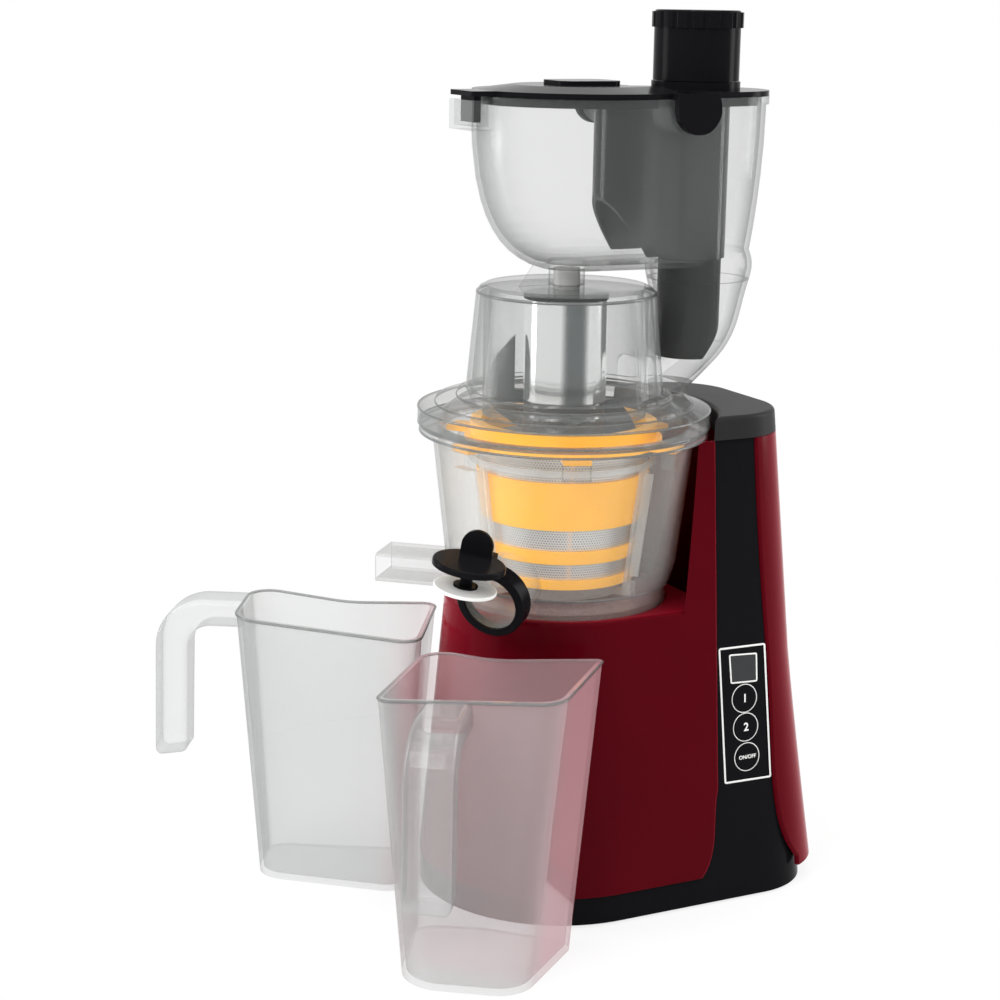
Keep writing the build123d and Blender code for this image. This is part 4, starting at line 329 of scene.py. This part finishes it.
def jug_painted_red(s, reach):
    """How much red is painted on a wall: all of it within reach of the auger's axis, none past the fade."""
    flat = s.node("ShaderNodeVectorMath", {"operation": "MULTIPLY"}, {0: s.place(), 1: (1, 1, 0)})
    away = s.node("ShaderNodeVectorMath", {"operation": "LENGTH"}, {0: flat}, "Value")
    return s.node("ShaderNodeMapRange", None, {0: away, 1: reach, 2: reach + PAINTED_RED_FADE, 3: JUG_PAINTED_RED, 4: 0.0})


def bowl_painted_red(s, reach):
    """How much red is painted on the bowl's wall: none at the front, more towards the tower and at the deck.
    """
    parts = s.node("ShaderNodeSeparateXYZ", None, {"Vector": s.place()})
    y, z = (Wire(s, parts.socket.node.outputs[axis]) for axis in (1, 2))
    span = {0: y, 1: reach, 2: reach + PAINTED_RED_FADE, 3: 0.0, 4: BOWL_REAR_PAINTED_RED}
    rear = s.node("ShaderNodeMapRange", None, span)
    span = {0: z, 1: BOWL_FOOT[0], 2: BOWL_FOOT[1], 3: BOWL_FOOT_PAINTED_RED, 4: 0.0}
    low = s.node("ShaderNodeMapRange", None, span)
    return rear.maths("MAXIMUM", low * jug_painted_red(s, BOWL_FOOT_REACH))


def clear_plastic(name, body, edge, tint, colour, power=3.0, painted_red_share=None, reach=0.0, gloss=0.5):
    """Clear moulding: nearly invisible face on, darker seen along, partly as painted shade; painted_red_share
    tells where the shells' red is painted on.
    """
    s = Shader(name)
    facing = s.node("ShaderNodeLayerWeight", None, {"Blend": 0.5}, "Facing")
    rim = facing ** power
    flow = s.noise(90 * MM, 1.0)
    # darker tint seen along the wall: partly the longer path through the plastic, partly painted shade in
    # place of refraction
    shade = s.blend(rim, colour, tint)
    cover = rim * (edge - body) + body
    if painted_red_share:
        # painted red: the red of the shells behind is painted into the wall's colour and made denser
        painted_red_amount = painted_red_share(s, reach)
        shade = s.blend(painted_red_amount, shade, PAINTED_RED)
        cover = (cover + painted_red_amount * PAINTED_RED_COVER).maths("MINIMUM", 1.0)
    return s.output(s.surface(
        Base_Color=shade, Roughness=0.05 + flow * 0.03, Alpha=cover, IOR=1.5,
        Normal=s.bump(flow, 0.2 * MM, 0.15), Specular_IOR_Level=gloss))


def steel_mesh(look):
    """Etched stainless sheet: staggered round holes in rings about the auger's axis."""
    s = Shader("etched_sheet")
    parts = s.node("ShaderNodeSeparateXYZ", None, {"Vector": s.place()})
    x, y, z = (Wire(s, parts.socket.node.outputs[i]) for i in range(3))
    turn = y.maths("ARCTAN2", x)
    around = turn * (MESH_R / look.mesh_pitch)
    row = z / (look.mesh_pitch * MESH_ROW)
    shift = (row.maths("FLOOR") * 0.5).maths("FRACT")
    u = (around + shift).maths("FRACT") - 0.5
    v = row.maths("FRACT") - 0.5
    far = (u * u + v * v * MESH_ROW_SQUARE).maths("SQRT")
    hole = far < HOLE_R
    brushed = s.noise(3 * MM, 2.0, (1, 1, 8))
    return s.output(s.surface(
        Base_Color=s.blend(brushed, (0.74, 0.74, 0.73), (0.9, 0.9, 0.89)), Metallic=0.7,
        Roughness=0.34 + brushed * 0.14, Alpha=1 - hole * HOLE_CLEAR, Normal=s.bump(far, 0.12 * MM, 0.5)))


def polished_steel():
    """Polished stainless steel with faint turning rings, a painted reflection (the dark line that a bright
    tent leaves on it) and a painted glow.
    """
    s = Shader("polished_steel")
    rings = s.noise(0.8 * MM, 2.0, (0.02, 0.02, 1))
    parts = s.node("ShaderNodeSeparateXYZ", None, {"Vector": s.place()})
    x, y = (Wire(s, parts.socket.node.outputs[axis]) for axis in range(2))
    # painted reflection: a dark line fixed on the steel where a gap in the bright tent would be reflected
    away = (y.maths("ARCTAN2", x) + STEEL_PAINTED_LINE_TURN).maths("COSINE")
    line = s.node("ShaderNodeMapRange", {"interpolation_type": "SMOOTHSTEP"}, {0: away, 1: 0.93, 2: 0.99})
    tone_with_painted_reflection = s.blend(line, s.blend(rings, (0.9, 0.92, 0.91), (0.98, 0.99, 0.98)), (0.1, 0.11, 0.11))
    return s.output(s.surface(
        Base_Color=tone_with_painted_reflection, Metallic=1.0, Roughness=0.08 + rings * 0.06, Normal=s.bump(rings, 0.02 * MM, 0.3),
        # painted glow: the steel gives off light in its own tone, though it is no lamp
        Emission_Color=tone_with_painted_reflection, Emission_Strength=0.12))


def machined_steel():
    """Turned and ground shaft steel."""
    s = Shader("machined_steel")
    rings = s.noise(0.5 * MM, 2.0, (0.05, 0.05, 1))
    return s.output(s.surface(
        Base_Color=s.blend(rings, (0.42, 0.42, 0.43), (0.6, 0.6, 0.6)), Metallic=1.0,
        Roughness=0.24 + rings * 0.12, Normal=s.bump(rings, 0.03 * MM, 0.4)))


def plain(name, colour, roughness, size, depth, metallic=0.0, spread=0.12):
    """Simple moulded, cast or wound finish: one noise varies colour and roughness and gives relief."""
    s = Shader(name)
    noise = s.noise(size, 3.0)
    return s.output(s.surface(
        Base_Color=s.blend(
            noise, [c * (1 - spread) for c in colour], [min(1, c * (1 + spread)) for c in colour]),
        Roughness=roughness + noise * 0.1, Metallic=metallic, Normal=s.bump(noise, depth, 0.5)))


OWN_FINISH = {  # nodes whose finish isn't that of their slot
    "pulp_jug": "pulp_jug", "juice_jug": "juice_jug", "juicing_bowl": "bowl_wall",
    "wiper_blades": "frosted_plastic",
}


def finishes(look):
    """Material of each slot of the record."""
    return {
        "red_plastic": red_plastic(look),
        "black_plastic": black_plastic(look),
        "dark_cap": satin_grey(look),
        "clear_plastic": clear_plastic(
            "clear_moulding", 0.085, 0.85, look.edge_painted_shade, (0.3, 0.315, 0.31), 2.5),
        "pulp_jug": clear_plastic(
            "pulp_jug_moulding_painted_red", 0.18, 0.9, look.edge_painted_shade, (0.44, 0.46, 0.455), 2.4, jug_painted_red,
            PULP_JUG_REACH),
        "juice_jug": clear_plastic(
            "juice_jug_moulding_painted_red", 0.18, 0.9, look.edge_painted_shade, (0.47, 0.49, 0.485), 2.4, jug_painted_red,
            JUICE_JUG_REACH),
        "bowl_wall": clear_plastic(
            "bowl_moulding_painted_red", 0.1, 0.8, look.edge_painted_shade, (0.5, 0.52, 0.51), 2.6, bowl_painted_red,
            BOWL_REAR_REACH),
        # the rims are real; their darker, denser finish is painted shade for the dark lines along clear edges
        "edge_plastic": clear_plastic(
            "painted_dark_edge_line", 0.5, 0.9, look.edge_painted_shade, (0.2, 0.21, 0.205), 1.5),
        "smoke_plastic": clear_plastic(
            "smoke_moulding", 0.88, 0.97, (0.006, 0.007, 0.007), (0.012, 0.014, 0.014), gloss=0.15),
        "frosted_plastic": clear_plastic(
            "frosted_moulding", 0.3, 0.75, (0.38, 0.4, 0.39), (0.88, 0.9, 0.89)),
        "display_glass": plain("display_window", (0.012, 0.013, 0.016), 0.05, 30 * MM, 0.02 * MM),
        "orange_plastic": orange_plastic(look),
        "auger_plastic": plain("hard_dark_plastic", (0.045, 0.045, 0.048), 0.3, 1.2 * MM, 0.04 * MM),
        "nylon": plain("white_nylon", (0.82, 0.82, 0.79), 0.35, 1.0 * MM, 0.03 * MM, spread=0.04),
        "gearbox_plastic": plain("filled_nylon", (0.16, 0.16, 0.17), 0.45, 0.8 * MM, 0.06 * MM),
        "silicone": plain("white_silicone", (0.82, 0.82, 0.8), 0.42, 1.5 * MM, 0.03 * MM, spread=0.03),
        "rubber": plain("black_rubber", (0.02, 0.02, 0.02), 0.6, 0.7 * MM, 0.05 * MM),
        "board": plain("circuit_board", (0.02, 0.13, 0.055), 0.3, 2.0 * MM, 0.03 * MM, spread=0.3),
        "steel_mesh": steel_mesh(look),
        "polished_steel": polished_steel(),
        "shaft_steel": machined_steel(),
        "lamination": plain("stacked_sheet", (0.18, 0.18, 0.19), 0.4, 0.5 * MM, 0.06 * MM, 0.8),
        "copper": plain("enamelled_wire", (0.5, 0.2, 0.09), 0.3, 0.9 * MM, 0.15 * MM, 0.8, 0.3),
        "cast_alloy": plain("cast_alloy", (0.5, 0.51, 0.52), 0.38, 0.9 * MM, 0.08 * MM, 0.9),
    }


class JUICER_OT_finishes(bpy.types.Operator):
    """Gives every piece of the frame its finish"""

    bl_idname = "juicer.finishes"
    bl_label = "Finishes"

    def execute(self, context):
        made = finishes(context.scene.juicer_finish)
        for part in frame["record"]["subparts"]:
            piece = frame["nodes"][part["node"]]
            key = OWN_FINISH.get(part["node"], part["material_slot"])
            for slot in piece.material_slots:
                slot.material = made[key]
        return {"FINISHED"}


# ---------------------------------------------------------------- surfaces
def rounded(corners, radii, steps=10):
    """Closed plan outline: each corner P becomes the arc C + r (cos t, sin t) that touches both its sides."""
    corners = np.array(corners, float)
    outline = []
    for index, radius in enumerate(radii):
        here = corners[index]
        back, ahead = corners[index - 1] - here, corners[(index + 1) % len(corners)] - here
        back, ahead = back / np.linalg.norm(back), ahead / np.linalg.norm(ahead)
        half = math.acos(np.dot(back, ahead)) / 2
        middle = here + (back + ahead) / np.linalg.norm(back + ahead) * radius / math.sin(half)
        start, end = (here + side * radius / math.tan(half) - middle for side in (back, ahead))
        first = math.atan2(start[1], start[0])
        sweep = (math.atan2(end[1], end[0]) - first + math.pi) % TAU - math.pi
        angles = first + sweep * np.linspace(0, 1, steps)
        outline.append(middle + radius * np.stack([np.cos(angles), np.sin(angles)], axis=1))
    return np.concatenate(outline)


def swept(path, up, section):
    """Closed surface: point (i, j) = path i + a of section j times (tangent i x up) + b times up."""
    path, up, section = np.array(path), np.array(up, float), np.array(section)
    tangent = np.roll(path, -1, axis=0) - np.roll(path, 1, axis=0)
    tangent /= np.linalg.norm(tangent, axis=1)[:, None]
    side = np.cross(tangent, up)
    rings = path[:, None] + section[None, :, :1] * side[:, None] + section[None, :, 1:] * up
    count, around = rings.shape[:2]
    i, j = np.meshgrid(np.arange(count), np.arange(around), indexing="ij")
    after, beside = (i + 1) % count, (j + 1) % around
    corners = [i * around + j, after * around + j, after * around + beside, i * around + beside]
    return rings.reshape(-1, 3), np.stack(corners, axis=-1).reshape(-1, 4)


def circle(radius, steps=96):
    """Plan circle of a radius."""
    angles = TAU * np.arange(steps) / steps
    return radius * np.stack([np.cos(angles), np.sin(angles)], axis=1)


def level(outline, height):
    """Outline in plan set at a height."""
    return np.column_stack([outline, np.full(len(outline), height)])


def piece(name, surfaces, slot, body, finish):
    """One object of several closed surfaces, which rides on a body."""
    points, faces, count = [], [], 0
    for some_points, some_faces in surfaces:
        points.append(some_points)
        faces.append(some_faces + count)
        count += len(some_points)
    mesh = bpy.data.meshes.new(name)
    mesh.from_pydata(np.concatenate(points).tolist(), [], np.concatenate(faces).tolist())
    mesh.polygons.foreach_set("use_smooth", [True] * len(mesh.polygons))
    mesh.materials.append(finish)
    return placed(name, mesh, body)


def placed(name, mesh, body):
    """Object of a finished mesh."""
    made = bpy.data.objects.new(name, mesh)
    bpy.context.scene.collection.objects.link(made)
    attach(made, body)
    return made


# ---------------------------------------------------------------- printed marks
def panel_matrix(y, z, lift):
    """Matrix of a place on the right-hand panel: X to the rear, Y up the slope, Z outwards."""
    lean = math.atan(PANEL_DRAFT)
    across, rise = Vector((0, 1, 0)), Vector((-math.sin(lean), 0, math.cos(lean)))
    outward = Vector((math.cos(lean), 0, math.sin(lean)))
    turn = Matrix((across, rise, outward)).transposed().to_4x4()
    return Matrix.Translation(Vector((PANEL_X - PANEL_DRAFT * z, y, z)) + outward * lift) @ turn


def printed_line(outline, centre, width, thickness):
    """Raised printed line along a closed outline drawn round a place on the panel."""
    matrix = np.array(panel_matrix(*centre, 0.0))
    flat = level(outline, thickness / 2)
    path = flat @ matrix[:3, :3].T + matrix[:3, 3]
    half, rise = width / 2, thickness / 2
    section = [(half, -rise), (half, rise), (-half, rise), (-half, -rise)]
    return swept(path, matrix[:3, 2], section)


def lettering(name, text, size, centre, lift, body, finish):
    """Printed characters on the panel or on a button."""
    curve = bpy.data.curves.new(name, "FONT")
    curve.body = text
    curve.size = size
    curve.align_x, curve.align_y = "CENTER", "CENTER"
    curve.extrude = LETTER_RISE
    curve.offset = LETTER_BOLD * size
    shape = bpy.data.objects.new(name + "_shape", curve)
    bpy.context.scene.collection.objects.link(shape)
    mesh = bpy.data.meshes.new_from_object(shape.evaluated_get(bpy.context.evaluated_depsgraph_get()))
    bpy.data.objects.remove(shape)
    mesh.transform(panel_matrix(*centre, lift))
    mesh.materials.clear()
    mesh.materials.append(finish)
    return placed(name, mesh, body)


class JUICER_OT_marks(bpy.types.Operator):
    """Prints the frame, the rings and the characters of the controls"""

    bl_idname = "juicer.marks"
    bl_label = "Printed marks"

    def execute(self, context):
        ink = plain("white_ink", (0.82, 0.82, 0.8), 0.4, 0.4 * MM, 0.01 * MM, spread=0.03)
        slope = 1 / math.cos(math.atan(PANEL_DRAFT))
        lines = []
        for corners, width in PRINTED_FRAMES:
            y0, z0 = np.mean(corners, axis=0)
            local = [((y - y0) * MM, (z - z0) * slope * MM) for y, z in corners]
            outline = rounded(local[::-1], [PRINT_CORNER] * len(local))
            lines.append(printed_line(outline, (y0 * MM, z0 * MM), width * MM, PRINT_THICKNESS))
        for y, z in BUTTONS.values():
            ring = circle(RING_R * MM)
            lines.append(printed_line(ring, (y * MM, z * MM), RING_WIDTH * MM, PRINT_THICKNESS))
        piece("panel_print", lines, "silicone", "base", ink)
        for (key, (y, z)), (text, size) in zip(BUTTONS.items(), LETTERS):
            place = (y * MM, z * MM)
            lettering("print_" + key, text, size * MM, place, BUTTON_LIFT * MM, "button_" + key, ink)
        return {"FINISHED"}


# ---------------------------------------------------------------- moulded edges
class JUICER_OT_edges(bpy.types.Operator):
    """Adds the rounded beads along the edges of the clear mouldings; their dark finish is painted shade for
    the dark lines at those edges
    """

    bl_idname = "juicer.edges"
    bl_label = "Moulded edges"

    def execute(self, context):
        finish = bpy.data.materials["painted_dark_edge_line"]
        around = circle(1.0, BEAD_STEPS)
        for name, rings in BEADS.items():
            surfaces = [
                swept(level(circle(r * MM), z * MM), (0, 0, 1), around * size * MM) for r, z, size in rings]
            piece(name, surfaces, "clear_plastic", name.split("_")[0], finish)
        turn = Matrix.Rotation(JUG_TURN, 2)
        for name, (height, corners, radii) in JUGS.items():
            rim = rounded(corners, radii) @ np.array(turn).T * MM
            bead = swept(level(rim, height * MM - BEAD_SIZE), (0, 0, 1), around * BEAD_SIZE)
            piece(name + "_bead", [bead], "clear_plastic", name, finish)
        return {"FINISHED"}


# ---------------------------------------------------------------- stage
LAMPS = [  # place, width and height, share of the key lamp's power
    ("key_lamp", (0.7, -1.5, 1.5), (1.2, 1.0), 1.0),
    ("left_strip", (-0.9, -1.3, 0.6), (0.5, 1.2), 0.5),
    ("right_strip", (0.35, 1.6, 0.7), (0.5, 1.2), 0.5),
    ("top_lamp", (0.0, 0.2, 2.0), (1.4, 1.4), 0.7),
]


def lamp(name, place, aim, size, power):
    """Soft rectangular lamp aimed at a point."""
    light = bpy.data.lights.new(name, "AREA")
    light.shape = "RECTANGLE"
    light.size, light.size_y = size
    light.energy = power
    holder = bpy.data.objects.new(name, light)
    bpy.context.scene.collection.objects.link(holder)
    holder.location = place
    holder.rotation_euler = (Vector(aim) - Vector(place)).to_track_quat("-Z", "Y").to_euler()


def background_rays(s):
    """1 where the studio is seen directly, in a gloss or through glass."""
    path = s.node("ShaderNodeLightPath", output="Is Camera Ray").socket.node
    rays = [Wire(s, path.outputs[ray]) for ray in ("Is Camera Ray", "Is Glossy Ray", "Is Transmission Ray")]
    return rays[0].maths("MAXIMUM", rays[1].maths("MAXIMUM", rays[2]))


def studio_world(strength):
    """World: white as a background, softer as a light."""
    s = Shader("studio", "worlds")
    seen = background_rays(s) * (1.0 - strength) + strength
    return s.output(s.node("ShaderNodeBackground", None, {"Color": (1, 1, 1, 1), "Strength": seen}))


def floor_finish():
    """White floor that keeps the object's shadow and fades to plain white away from it."""
    s = Shader("studio_floor")
    body = s.node("ShaderNodeBsdfDiffuse", None, {"Color": (0.9, 0.9, 0.9, 1)})
    white = s.node("ShaderNodeEmission", None, {"Color": (1, 1, 1, 1), "Strength": 1.0})
    far = s.node("ShaderNodeVectorMath", {"operation": "LENGTH"}, {0: s.place()}, "Value")
    fade = s.node("ShaderNodeMapRange", None, dict(enumerate((far,) + FLOOR_FADE + FLOOR_WHITE)))
    return s.output(s.node("ShaderNodeMixShader", None, {0: fade * background_rays(s), 1: body, 2: white}))


class JUICER_OT_stage(bpy.types.Operator):
    """Builds the floor, the lamps, the world and the camera"""

    bl_idname = "juicer.stage"
    bl_label = "Stage"

    def execute(self, context):
        scene = context.scene
        stage = scene.juicer_stage
        scene.view_settings.view_transform = "Standard"
        half = stage.floor_size / 2
        mesh = bpy.data.meshes.new("studio_floor")
        corners = [(-half, -half, 0), (half, -half, 0), (half, half, 0), (-half, half, 0)]
        mesh.from_pydata(corners, [], [(0, 1, 2, 3)])
        floor = bpy.data.objects.new("studio_floor", mesh)
        mesh.materials.append(floor_finish())
        scene.collection.objects.link(floor)
        scene.world = studio_world(stage.sky)
        for name, place, size, share in LAMPS:
            lamp(name, place, STAGE_MIDDLE, size, stage.key_power * share)
        camera = bpy.data.cameras.new("camera")
        camera.lens = stage.lens
        camera.sensor_width = SENSOR_WIDTH
        camera.clip_start = CLIP_START
        holder = bpy.data.objects.new("camera", camera)
        scene.collection.objects.link(holder)
        turn = Vector(stage.camera_aim).to_track_quat("-Z", "Y").to_matrix().to_4x4()
        holder.matrix_world = (
            Matrix.Translation(stage.camera_place) @ turn @ Matrix.Rotation(stage.camera_roll, 4, "Z"))
        scene.camera = holder
        return {"FINISHED"}


class JUICER_PT_panel(bpy.types.Panel):
    """Shows a button for each of the juicer's steps"""

    bl_idname = "JUICER_PT_panel"
    bl_label = "Juicer"
    bl_space_type = "VIEW_3D"
    bl_region_type = "UI"
    bl_category = "Juicer"

    def draw(self, context):
        for operator in OPERATORS:
            self.layout.operator(operator.bl_idname)


OPERATORS = (JUICER_OT_finishes, JUICER_OT_marks, JUICER_OT_edges, JUICER_OT_stage)
CLASSES = (FinishSettings, StageSettings) + OPERATORS + (JUICER_PT_panel,)


def register():
    for item in CLASSES:
        bpy.utils.register_class(item)
    bpy.types.Scene.juicer_finish = bpy.props.PointerProperty(type=FinishSettings)
    bpy.types.Scene.juicer_stage = bpy.props.PointerProperty(type=StageSettings)


def unregister():
    del bpy.types.Scene.juicer_stage
    del bpy.types.Scene.juicer_finish
    for item in reversed(CLASSES):
        bpy.utils.unregister_class(item)


def main():
    """Builds everything in order."""
    register()
    for operator in OPERATORS:
        group, name = operator.bl_idname.split(".")
        getattr(getattr(bpy.ops, group), name)()


if __name__ == "__main__":
    main()
